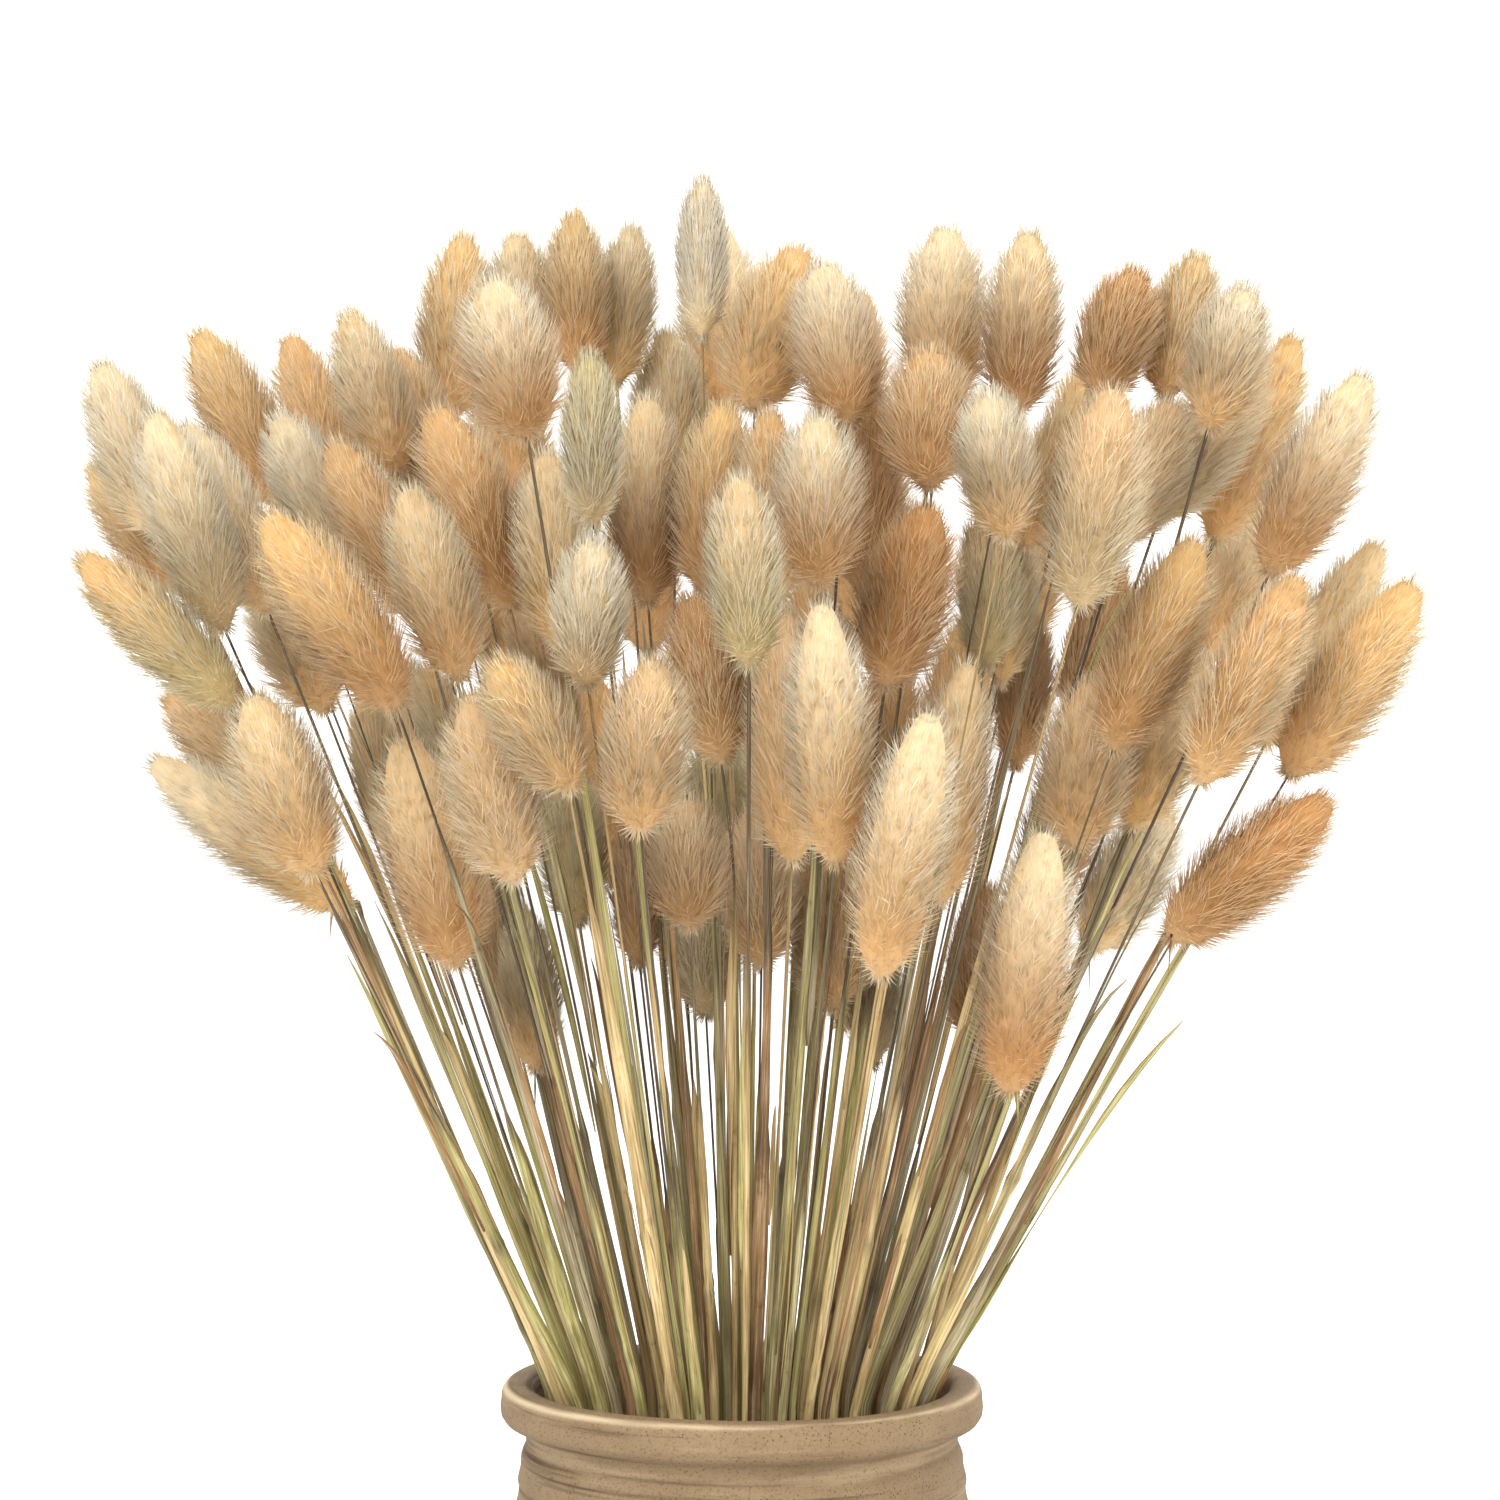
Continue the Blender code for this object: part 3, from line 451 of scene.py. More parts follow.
# Each stem's points: the foot, the vase's mouth, and then a cubic curve to its head's base.
def firstRoutes(base, axis, place, bunch):
    mouth = np.concatenate([place, np.full((len(place), 1), -3 * mm)], 1)
    ground = np.full((len(place), 1), bouquet["floorThickness"] - bouquet["rimHeight"] + 0.5 * mm)
    foot = np.concatenate([stemFeet(place, bunch), ground], 1)
    end = base + axis * bouquet["rootSunk"]
    span = size(end - mouth)[:, None]
    inside = (mouth - foot) / size(mouth - foot)[:, None]
    rise = along(inside, (end - mouth) / span, bouquet["straightness"])
    bendLow = mouth + rise * span * bouquet["lowBend"]
    bendHigh = end - axis * span * bouquet["highBend"]
    points = [foot, mouth]
    for step in range(1, bouquet["stepsAbove"] + 1):
        t = step / bouquet["stepsAbove"]
        low = mouth * (1 - t) ** 3 + bendLow * 3 * t * (1 - t) ** 2
        points.append(low + bendHigh * 3 * t * t * (1 - t) + end * t**3)
    return np.stack(points, 1)


# The radius at each of a stem's points: a dry sheath low down, then the bare upper stem.
def stemRadii(sheath):
    bare = bouquet["stalkRadius"]
    return bare + (sheath[:, None] - bare) * np.array(bouquet["sheathShares"])


# The pairs of straight runs that lie near enough to come to touch.
def nearPairs(middle, half, otherMiddle, otherHalf, allowed):
    apart = size(middle[:, None] - otherMiddle[None])
    return np.nonzero((apart < half[:, None] + otherHalf[None] + 7 * mm) & allowed)


# Adds a move to both ends of some steps of stems, shared by how far along the step it is asked for.
def pushSteps(move, stem, step, unit, amount, share):
    np.add.at(move, (stem, step), unit * (amount * (1 - share))[:, None])
    np.add.at(move, (stem, step + 1), unit * (amount * share)[:, None])


# Bends the stems clear of the heads of other stalks and of the other bunches' stems.
def clearRoutes(routes, radii, bunch, headLow, headHigh, headRadius):
    rounds, mouthStep, room = bouquet["stemRounds"], bouquet["mouthStep"], 1.5 * bouquet["gap"]
    count, steps = routes.shape[:2]
    owner = np.repeat(np.arange(count), steps - 1)
    stepOf = np.tile(np.arange(steps - 1), count)
    thick = np.maximum(radii[:, :-1], radii[:, 1:]).reshape(-1)
    otherBunch = bunch[owner][:, None] < bunch[owner][None]
    otherStalk = owner[:, None] != np.arange(count)
    headMiddle = (headLow + headHigh) / 2
    headHalf = size(headHigh - headLow) / 2 + headRadius
    for turn in range(rounds):
        start = routes[:, :-1].reshape(-1, 3)
        end = routes[:, 1:].reshape(-1, 3)
        if turn % 10 == 0:
            middle, half = (start + end) / 2, size(end - start) / 2
            first, second = nearPairs(middle, half, middle, half, otherBunch)
            run, head = nearPairs(middle, half, headMiddle, headHalf, otherStalk)
        move = np.zeros_like(routes)
        shareA, shareB, way = nearest(start[first], end[first], start[second], end[second])
        apart = np.maximum(size(way), 1e-6)
        step = np.maximum(thick[first] + thick[second] + room - apart, 0) * 0.5
        unit = way / apart[:, None]
        pushSteps(move, owner[first], stepOf[first], unit, -step, shareA)
        pushSteps(move, owner[second], stepOf[second], unit, step, shareB)
        share, _, way = nearest(start[run], end[run], headLow[head], headHigh[head])
        apart = np.maximum(size(way), 1e-6)
        step = np.maximum(headRadius[head] + thick[run] + room - apart, 0) * 0.9
        pushSteps(move, owner[run], stepOf[run], way / apart[:, None], -step, share)
        move[:, [0, -1]] = 0
        move[:, mouthStep, 2] = 0
        even = (routes[:, :-2] + routes[:, 2:]) / 2 - routes[:, 1:-1]
        smooth = 0.06 if turn < rounds * 0.7 else 0.01
        move[:, mouthStep + 1 : -1] += even[:, mouthStep:] * smooth
        routes = routes + np.clip(move, -3 * mm, 3 * mm)
        inside = np.hypot(routes[:, mouthStep, 0], routes[:, mouthStep, 1])
        keep = np.minimum((bouquet["stemReach"] - radii[:, mouthStep]) / inside, 1)
        routes[:, mouthStep, :2] *= keep[:, None]
    return routes


# The whole bouquet, worked out above the rim and then lifted onto the vase.
def arrange():
    base, tip, radius, words = readHeads()
    base, tip = partHeads(base, tip, radius)
    low, high, axis = innerRun(base, tip, radius)
    place = stemPlaces(base)
    bunch = pickBunches(place, words)
    random = np.random.default_rng(bouquet["seed"] + 1)
    sheath = random.uniform(*bouquet["sheathRadius"], len(radius))
    routes = firstRoutes(base, axis, place, bunch)
    routes = clearRoutes(routes, stemRadii(sheath), bunch, low, high, radius)
    lift = np.array([0, 0, bouquet["rimHeight"]])
    base, tip, routes = (np.round(v + lift, 5) for v in (base, tip, routes))
    return dict(base=base, tip=tip, routes=routes, words=words, bunch=bunch, radius=radius, sheath=sheath)


stalks = arrange()
stalkCount = len(stalks["radius"])
print("stalks arranged:", stalkCount)


# One mesh from an array of points and arrays of four- and three-cornered faces.
def meshFromArrays(name, places, quads, triangles):
    mesh = bpy.data.meshes.new(name)
    corners = np.concatenate([quads.reshape(-1), triangles.reshape(-1)]).astype(np.int32)
    counts = np.concatenate([np.full(len(quads), 4), np.full(len(triangles), 3)])
    starts = np.concatenate([[0], np.cumsum(counts)[:-1]]).astype(np.int32)
    mesh.vertices.add(len(places))
    mesh.vertices.foreach_set("co", places.astype(np.float32).reshape(-1))
    mesh.loops.add(len(corners))
    mesh.loops.foreach_set("vertex_index", corners)
    mesh.polygons.add(len(counts))
    mesh.polygons.foreach_set("loop_start", starts)
    mesh.polygons.foreach_set("use_smooth", np.ones(len(counts), bool))
    mesh.update(calc_edges=True)
    return mesh


# Keeps a number, or three of a colour or a place, for every point of a mesh.
def keepAtPoints(mesh, name, kind, values):
    field = {"FLOAT": "value", "FLOAT_COLOR": "color", "FLOAT_VECTOR": "vector"}[kind]
    if kind == "FLOAT_COLOR":
        values = np.insert(values, 3, 1, axis=-1)
    layer = mesh.attributes.new(name, kind, "POINT")
    layer.data.foreach_set(field, values.astype(np.float32).reshape(-1))


def addPiece(name, mesh, material, nodes):
    piece = addObject(name, mesh)
    mesh.materials.append(material)
    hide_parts(*nodes)
    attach(piece, "root")
    print(name, "triangles:", len(mesh.loops) - 2 * len(mesh.polygons))


# A colour as the eye reads it, 0 to 255, in the light's own measure.
def linear(shade):
    value = np.asarray(shade, float) / 255
    return np.where(value <= 0.04045, value / 12.92, ((value + 0.055) / 1.055) ** 2.4)


# Sets a socket to a value, or links it to the socket that is given.
def feed(tree, socket, value):
    if isinstance(value, bpy.types.NodeSocket):
        tree.links.new(value, socket)
    else:
        socket.default_value = value


# A node with its sockets fed by name and, for names that are not sockets, its own settings.
def addNode(tree, kind, **values):
    node = tree.nodes.new("ShaderNode" + kind)
    for name, value in values.items():
        if name in node.inputs:
            feed(tree, node.inputs[name], value)
        else:
            setattr(node, name, value)
    return node


# Mixes two colours by a share; each of the three is a socket or a value.
def mixColour(tree, share, first, second, blend="MIX"):
    node = addNode(tree, "Mix", data_type="RGBA", blend_type=blend)
    for number, value in ((0, share), (6, first), (7, second)):
        feed(tree, node.inputs[number], value)
    return node.outputs[2]


# 0 below low, 1 above high, and an even slope between.
def rampOf(tree, source, low, high):
    ends = {"From Min": low, "From Max": high}
    return addNode(tree, "MapRange", Value=source, **ends).outputs["Result"]


# A noise pattern; three scales stretch it.
def noiseOf(tree, vector, scale, detail, roughness):
    if isinstance(scale, tuple):
        vector, scale = addNode(tree, "Mapping", Vector=vector, Scale=scale).outputs["Vector"], 1
    node = addNode(tree, "TexNoise", Vector=vector, Scale=scale, Detail=detail, Roughness=roughness)
    return node.outputs["Fac"]


# The distance to the nearest of some scattered dots.
def dotsOf(tree, vector, scale):
    return addNode(tree, "TexVoronoi", Vector=vector, Scale=scale).outputs["Distance"]


# What a mesh keeps at its points under this name.
def keptOf(tree, name, output):
    return addNode(tree, "Attribute", attribute_name=name).outputs[output]


def product(tree, first, second):
    node = addNode(tree, "Math", operation="MULTIPLY")
    feed(tree, node.inputs[0], first)
    feed(tree, node.inputs[1], second)
    return node.outputs[0]


# A colour multiplied by a stain, more and more as the pattern goes from low to high.
def stained(tree, colour, pattern, low, high, stain):
    full = mixColour(tree, 1.0, colour, (*stain, 1), "MULTIPLY")
    return mixColour(tree, rampOf(tree, pattern, low, high), colour, full)


# Bumps laid one on another, each a height, a strength, a distance, and whether it goes inwards.
def addBumps(tree, shader, *bumps):
    below = {}
    for height, strength, distance, invert in bumps:
        sizes = {"Strength": strength, "Distance": distance}
        bump = addNode(tree, "Bump", Height=height, invert=invert, **sizes, **below)
        below = {"Normal": bump.outputs["Normal"]}
    feed(tree, shader.inputs["Normal"], below["Normal"])


# Catmull-Rom curves: each span between two points is a cubic, and its neighbours set the slopes.
def smoothPath(points, steps):
    before = 2 * points[:, :1] - points[:, 1:2]
    after = 2 * points[:, -1:] - points[:, -2:-1]
    full = np.concatenate([before, points, after], 1)
    t = (np.arange(steps) / steps)[None, None, :, None]
    a, b, c, d = (full[:, k : k + points.shape[1] - 1, None] for k in range(4))
    curve = 2 * b + (c - a) * t + (2 * a - 5 * b + 4 * c - d) * t**2 + (3 * b - a - 3 * c + d) * t**3
    return np.concatenate([0.5 * curve.reshape(len(points), -1, 3), points[:, -1:]], 1)


# Faces of a closed tube: four-cornered ones between its rings, and a fan round each of two end points.
def tubeFaces(rings, sides):
    k = np.arange(sides)
    after = (k + 1) % sides
    ring = np.arange(rings - 1)[:, None] * sides
    quads = np.stack([ring + k, ring + after, ring + sides + after, ring + sides + k], -1)
    last = (rings - 1) * sides
    low = np.stack([np.full(sides, rings * sides), after, k], -1)
    high = np.stack([np.full(sides, rings * sides + 1), last + k, last + after], -1)
    return quads.reshape(-1, 4), np.concatenate([low, high])


# Closed tubes: at each path point a ring of sides points, as wide as given and flat times as thick.
def tubes(paths, widths, sides, flat, twist):
    count, steps = paths.shape[:2]
    way = np.gradient(paths, axis=1)
    way /= size(way)[..., None]
    side = np.cross(way, [0.0, 1.0, 0.0])
    side /= size(side)[..., None]
    up = np.cross(way, side)
    turn = (2 * math.pi * np.arange(sides) / sides)[None, None]
    roll = np.broadcast_to(np.asarray(twist), (count, steps))[..., None]
    wide = widths[..., None] * np.cos(turn)
    deep = widths[..., None] * flat * np.sin(turn)
    x = wide * np.cos(roll) - deep * np.sin(roll)
    y = wide * np.sin(roll) + deep * np.cos(roll)
    rings = paths[:, :, None] + side[:, :, None] * x[..., None] + up[:, :, None] * y[..., None]
    places = np.concatenate([rings.reshape(count, -1, 3), paths[:, :1], paths[:, -1:]], 1)
    shift = (np.arange(count) * (steps * sides + 2))[:, None, None]
    quads, fans = tubeFaces(steps, sides)
    return places.reshape(-1, 3), (quads + shift).reshape(-1, 4), (fans + shift).reshape(-1, 3)


# Values at each path point, repeated for the tubes' points.
def tubeValues(values, sides):
    return np.concatenate([np.repeat(values, sides, axis=1), values[:, :1], values[:, -1:]], 1)


# Where each tube point lies in the grain: round the tube in a circle, and slowly along its length.
def grainPlaces(turns, lengths, sides, random):
    count, steps = lengths.shape
    turn = 2 * math.pi * np.arange(sides) / sides
    places = np.zeros((count, steps * sides + 2, 3))
    places[:, :-2, 0] = np.tile(np.cos(turn) * turns, steps)
    places[:, :-2, 1] = np.tile(np.sin(turn) * turns, steps)
    places[..., 2] = tubeValues(lengths / (26 * mm), sides)
    return places + random.uniform(0, 90, (count, 1, 3))


vaseForm = {
    "lipRadius": 60.5 * mm,
    "mouthRadius": 52 * mm,
    "neckRadius": 54.8 * mm,
    "bellyRadius": 74 * mm,
    "footRadius": 48 * mm,
    "neckBelowRim": 12 * mm,
    "lipSquareness": 0.7,
    "bellyHeight": 92 * mm,
    "wall": 5.5 * mm,
    "ridgePitch": 20 * mm,
    "ridgeDepth": 0.5 * mm,
    "finePitch": 6.4 * mm,
    "fineDepth": 0.28 * mm,
    "groovePitch": 4.7 * mm,
    "grooveDepth": 0.4 * mm,
    "innerRings": 18,
    "lipRings": 22,
    "outerRings": 210,
    "sides": 112,
}
rim = bouquet["rimHeight"]
neck = rim - vaseForm["neckBelowRim"]


# A thrower's grooves, 0 to 1 deep: narrow dips at uneven steps down the wall, some faint.
def grooveShare(height):
    down = (neck - height) / vaseForm["groovePitch"]
    uneven = down + 0.3 * np.sin(down * 0.9 + 0.5)
    away = np.abs(uneven - np.round(uneven))
    dip = np.exp(-((away / 0.1) ** 2)) * (0.55 + 0.45 * np.sin(down * 2.3 + 1))
    return np.where(down > 0.3, dip, 0)


# The outer wall: a belly that swells from the foot and draws in to the neck, with throwing ridges.
def wallRadius(height):
    form = vaseForm
    belly = form["bellyHeight"]
    lowShare = np.sin(math.pi / 2 * (np.minimum(height, belly) / belly) ** 0.9)
    low = form["footRadius"] + (form["bellyRadius"] - form["footRadius"]) * lowShare
    highShare = 0.5 + 0.5 * np.cos(math.pi * ((height - belly) / (neck - belly)))
    high = form["neckRadius"] + (form["bellyRadius"] - form["neckRadius"]) * highShare
    wide = form["ridgeDepth"] * np.cos(2 * math.pi * (neck - height) / form["ridgePitch"] + math.pi)
    beat = 0.6 + 0.4 * np.sin(height / (17 * mm)) * np.sin(height / (41 * mm) + 1)
    fine = form["fineDepth"] * beat * np.cos(2 * math.pi * (neck - height) / form["finePitch"])
    return np.where(height < belly, low, high) + wide + fine - form["grooveDepth"] * grooveShare(height)


# Radius and height from the inner floor's middle, over the rolled lip, and in under the foot.
def vaseProfile():
    floor, foot = bouquet["floorThickness"], vaseForm["footRadius"]
    mouth, lip, neckOut = vaseForm["mouthRadius"], vaseForm["lipRadius"], vaseForm["neckRadius"]
    lipHalf = (lip - mouth) / 2
    lipHeight = rim - lipHalf
    points = [(0.5 * mm, floor), (20 * mm, floor), (foot - 12 * mm, floor)]
    points += [(foot - 6 * mm, floor + 2 * mm), (foot - 3 * mm, floor + 7 * mm)]
    heights = np.linspace(floor + 16 * mm, neck - 4 * mm, vaseForm["innerRings"])
    points += list(zip(wallRadius(heights) - vaseForm["wall"], heights))
    points += [(mouth - 1.2 * mm, neck + 0.5 * mm), (mouth - 0.5 * mm, lipHeight - 3 * mm)]
    turn = math.pi - np.linspace(0, math.pi, vaseForm["lipRings"])
    square = vaseForm["lipSquareness"]
    across = mouth + lipHalf + lipHalf * np.sign(np.cos(turn)) * np.abs(np.cos(turn)) ** square
    points += list(zip(across, lipHeight + lipHalf * np.abs(np.sin(turn)) ** square))
    points += [(lip + 0.2 * mm, lipHeight - 1.8 * mm), (lip, lipHeight - 3.6 * mm)]
    points += [(lip - 0.9 * mm, lipHeight - 5 * mm), (neckOut + 2.4 * mm, lipHeight - 6.1 * mm)]
    points += [(neckOut + 0.7 * mm, lipHeight - 7 * mm)]
    heights = np.linspace(neck, 7 * mm, vaseForm["outerRings"])
    points += list(zip(wallRadius(heights), heights))
    points += [(foot + 3.2 * mm, 4.2 * mm), (foot + 1.2 * mm, 1.8 * mm), (foot - 1 * mm, 0.4 * mm)]
    return np.array(points + [(foot - 3 * mm, 0), (20 * mm, 0), (0.5 * mm, 0)])


# The profile turned round the axis, each radius a little uneven round the turn as a thrown pot's is.
def makeVaseMesh():
    profile = vaseProfile()
    sides = vaseForm["sides"]
    turn = 2 * math.pi * np.arange(sides) / sides
    radius, height = profile.T
    lift = (height / rim)[:, None]
    sway = 0.25 * mm * np.sin(2 * turn + 3 * lift) + 0.15 * mm * np.sin(5 * turn - 7 * lift)
    full = radius[:, None] + sway * np.clip(radius / (40 * mm), 0, 1)[:, None]
    z = height[:, None] + 0.2 * mm * np.sin(3 * turn + 1) * np.clip((lift - 0.9) * 10, 0, 1)
    places = np.stack([full * np.cos(turn), full * np.sin(turn), z], -1).reshape(-1, 3)
    places = np.concatenate([places, [[0, 0, height[0]], [0, 0, height[-1]]]])
    quads, fans = tubeFaces(len(profile), sides)
    mesh = meshFromArrays("vase_clay", places, quads[:, [0, 3, 2, 1]], fans[:, [0, 2, 1]])
    lipMiddle = (vaseForm["lipRadius"] + vaseForm["mouthRadius"]) / 2
    # A paler ring along the lip's outer top edge: partly wear, partly a painted highlight.
    away = np.hypot(radius - lipMiddle - 3.2 * mm, height - rim + 1.0 * mm)
    wearAndHighlight = np.clip(1.3 - away / (0.95 * mm), 0, 1)
    for name, share in (("grooveShade", grooveShare(height)), ("wearAndHighlight", wearAndHighlight)):
        keepAtPoints(mesh, name, "FLOAT", np.append(np.repeat(share, sides), [0, 0]))
    return mesh


clayLook = {
    "shades": {
        "body": (128, 108, 81),
        "shade": (114, 93, 67),
        "pale": (144, 124, 95),
        "speck": (66, 48, 30),
        "line": (70, 51, 30),
        # the paler ring on the lip's edge: partly wear, partly a painted highlight
        "wearAndHighlight": (186, 167, 136),
    },
    "cloud": (38, 6, 0.62),  # a noise's scale, detail and roughness
    "lines": ((14, 14, 210), 4, 0.55),
    "scratches": ((9, 9, 430), 5, 0.6),
    "grain": (1500, 3, 0.7),
    "specks": 900,
    "pits": 170,
    "dust": 0.55,
    "finish": {"Roughness": 0.82, "Specular IOR Level": 0.3},
}


def clayMaterial():
    material, tree, shader = newMaterial("thrown_clay", clayLook["finish"])
    shade = {name: (*linear(rgb), 1) for name, rgb in clayLook["shades"].items()}
    place = addNode(tree, "TexCoord").outputs["Object"]
    names = ("cloud", "lines", "scratches", "grain")
    cloud, lines, scratches, grain = (noiseOf(tree, place, *clayLook[name]) for name in names)
    specks, pits = (dotsOf(tree, place, clayLook[name]) for name in ("specks", "pits"))
    broken = rampOf(tree, lines, 0.62, 0.36)
    colour = mixColour(tree, rampOf(tree, cloud, 0.35, 0.68), shade["body"], shade["shade"])
    colour = mixColour(tree, rampOf(tree, lines, 0.55, 0.72), colour, shade["pale"])
    colour = mixColour(tree, rampOf(tree, scratches, 0.57, 0.72), colour, shade["line"])
    # Darkens the thrower's grooves, broken up along their length: painted shade in the grooves.
    colour = mixColour(tree, product(tree, keptOf(tree, "grooveShade", "Fac"), broken), colour, shade["line"])
    dust = mixColour(tree, clayLook["dust"], colour, shade["speck"])
    colour = mixColour(tree, rampOf(tree, grain, 0.53, 0.68), colour, dust)
    share = product(tree, rampOf(tree, specks, 0.26, 0.12), rampOf(tree, lines, 0.62, 0.42))
    colour = mixColour(tree, share, colour, shade["speck"])
    # Lays the paler ring on the lip's outer top edge, broken up by the lines: partly wear, partly a painted
    # highlight.
    share = product(tree, keptOf(tree, "wearAndHighlight", "Fac"), rampOf(tree, lines, 0.4, 0.58))
    feed(tree, shader.inputs["Base Color"], mixColour(tree, share, colour, shade["wearAndHighlight"]))
    addBumps(
        tree,
        shader,
        (lines, 0.5, 0.0006, False),
        (rampOf(tree, scratches, 0.55, 0.75), 0.6, 0.0005, True),
        (grain, 0.7, 0.0003, False),
        (rampOf(tree, pits, 0.05, 0.14), 0.5, 0.0004, False),
    )
    return material


addPiece("vase_clay", makeVaseMesh(), clayMaterial(), ["vase"])
print("vase turned")


stemForm = {  # ends and joints in spans from the foot
    "shadeSeed": 21,
    "seed": 22,
    "sides": 6,
    "steps": 7,
    "flatness": 0.78,
    "thinRadius": 0.37 * mm,
    "end": (2.3, 5.1),
    "joint": (1.25, 2.9),
    "fullness": (0.66, 1.1),
    "grainTurns": 2.3,
    "grainLength": 45 * mm,
    "thinShades": ((96, 80, 58), (70, 54, 40), (150, 124, 84)),
    "thinWeights": (0.45, 0.3, 0.25),
}
bladeForm = {
    "seed": 23,
    "count": 190,
    "sides": 6,
    "steps": 14,
    "flatness": 0.16,
    "start": (0.9, 3.2),
    "length": (30 * mm, 150 * mm),
    "width": (0.45 * mm, 1.25 * mm),
    "bend": 0.27,
    "curl": 0.16,
    "grainTurns": 1.3,
    "shades": ("straw", "straw", "brown", "olive", "grey", "green"),
}
strawShades = {  # light and dark
    "straw": ((202, 178, 128), (152, 124, 80)),
    "green": ((182, 172, 114), (134, 122, 70)),
    "olive": ((170, 158, 114), (116, 103, 66)),
    "brown": ((172, 135, 94), (106, 78, 49)),
    "grey": ((162, 148, 118), (102, 90, 66)),
}


# A straw shade for each stalk: greener at the left, browner to the right.
def stemShades():
    random = np.random.default_rng(stemForm["shadeSeed"])
    names = []
    for x in stalks["routes"][:, 1, 0]:
        share = np.clip(0.5 - x / (90 * mm), 0, 1)
        weights = np.array([1.2, 3.2 * share**1.5, 1.1, 1.1 * (1 - share) + 0.2, 0.6])
        names.append(list(strawShades)[int(random.choice(5, p=weights / weights.sum()))])
    return names


# From each name's light shade to its dark one, by a share at each path point.
def strawBlend(names, share):
    light, dark = np.stack([linear(strawShades[name]) for name in names], 1)[:, :, None]
    return light + (dark - light) * share[..., None]


# Each stem's smooth line: straight from the floor to just under the mouth, then a curve through its points.
def stemCurve(steps):
    routes = stalks["routes"]
    under = along(routes[:, 0], routes[:, 1], 0.88)[:, None]
    upper = smoothPath(np.concatenate([under, routes[:, 1:]], 1), steps)
    lower = along(routes[:, :1], under, (np.arange(steps) / steps)[None])
    return np.concatenate([lower, upper[:, steps:]], 1)


# Tubes of straw along these paths, with their colours and their places in the grain.
def strawMesh(name, form, random, path, width, roll, colour, lengths):
    sides = form["sides"]
    mesh = meshFromArrays(name, *tubes(path, width, sides, form["flatness"], roll))
    grain = grainPlaces(form["grainTurns"], lengths, sides, random)
    keepAtPoints(mesh, "strawColour", "FLOAT_COLOR", tubeValues(colour, sides))
    keepAtPoints(mesh, "grainPlace", "FLOAT_VECTOR", grain)
    return mesh


# Dry leaf sheaths: each tube is widest at its joint, narrows upward and ends round the bare stem.
def makeSheaths():
    form, one = stemForm, (stalkCount, 1)
    random = np.random.default_rng(form["seed"])
    curve = stemCurve(form["steps"])
    spot = np.linspace(0, 1, curve.shape[1])[None] * (stalks["routes"].shape[1] - 1)
    end = random.uniform(*form["end"], one)
    joint = random.uniform(*form["joint"], one)
    sheath = stalks["sheath"][:, None] * random.uniform(*form["fullness"], one)
    fall = (0.55 + 0.45 * np.clip((end - spot) / 2, 0, 1)) * np.clip((end - spot) / 0.16, 0, 1) ** 0.5
    wave = 1 + 0.07 * np.sin(spot * random.uniform(3, 6, one) + random.uniform(0, 6, one))
    knot = 0.34 * np.exp(-(((spot - joint) / 0.045) ** 2))
    knot = knot - 0.16 * np.exp(-(((spot - joint - 0.12) / 0.07) ** 2))
    thin = form["thinRadius"] * random.uniform(0.85, 1.3, one)
    width = np.maximum(sheath * fall * wave * (1 + knot), thin)
    roll = random.uniform(0, 6, one) + spot * random.uniform(-0.5, 0.5, one)
    bare = linear(form["thinShades"])[random.choice(3, stalkCount, p=form["thinWeights"])][:, None]
    blotch = 0.5 + 0.3 * np.sin(spot * 4.1 + random.uniform(0, 6, one))
    blotch = np.clip(blotch + random.uniform(-0.25, 0.25, one), 0, 1)
    colour = strawBlend(stemShades(), blotch)
    colour = colour * (1 - 0.5 * np.exp(-(((spot - joint) / 0.05) ** 2)))[..., None]
    toBare = np.clip((spot - end + 0.5) / 0.5, 0, 1)[..., None]
    colour = colour * (1 - toBare) + bare * toBare
    lengths = np.broadcast_to(spot * form["grainLength"], curve.shape[:2])
    return strawMesh("dry_stems", form, random, curve, width, roll, colour, lengths)


# Dry leaf blades: flat strips that leave a sheath at their root, run up beside it and curl at the tip.
def makeBlades():
    form, fineSteps = bladeForm, 12
    count, one = form["count"], (form["count"], 1)
    random = np.random.default_rng(form["seed"])
    owner = random.permutation(np.arange(count) % stalkCount)
    curve = stemCurve(fineSteps)
    spot = random.uniform(*form["start"], one)
    length = random.uniform(*form["length"], one)
    t = np.linspace(0, 1, form["steps"])
    reach = length / size(stalks["routes"][owner, 3] - stalks["routes"][owner, 2])[:, None]
    position = (spot + reach * t * 0.96) * fineSteps
    position = np.clip(position, 0, curve.shape[1] - 1.001)
    index = position.astype(int)
    share = (position - index)[..., None]
    path = curve[owner[:, None], index] * (1 - share) + curve[owner[:, None], index + 1] * share
    angle = random.uniform(0, 2 * math.pi, one)
    out = np.stack([np.cos(angle), np.sin(angle), np.zeros(one)], -1)
    bend = random.uniform(0, form["bend"], one) ** 2 * length
    away = (1.2 * mm + bend * t**2.2)[..., None]
    curl = random.uniform(0, form["curl"], one) * length * np.clip(t - 0.7, 0, 1) ** 2 * 8
    path = path + out * away - np.array([0, 0, 1.0]) * curl[..., None]
    width = random.uniform(*form["width"], one)
    taper = np.clip(t * 9, 0.35, 1) * np.clip((1.02 - t) * 3.2, 0.03, 1) ** 0.8
    width = width * taper * (1 + 0.1 * np.sin(9 * t + angle))
    roll = random.uniform(0, 6, one) + t * random.uniform(-3, 3, one)
    names = [form["shades"][k] for k in random.integers(0, 6, count)]
    colour = strawBlend(names, np.clip(random.uniform(0, 0.6, one) + 0.4 * t, 0, 1))
    return strawMesh("dry_blades", form, random, path, width, roll, colour, t * length)


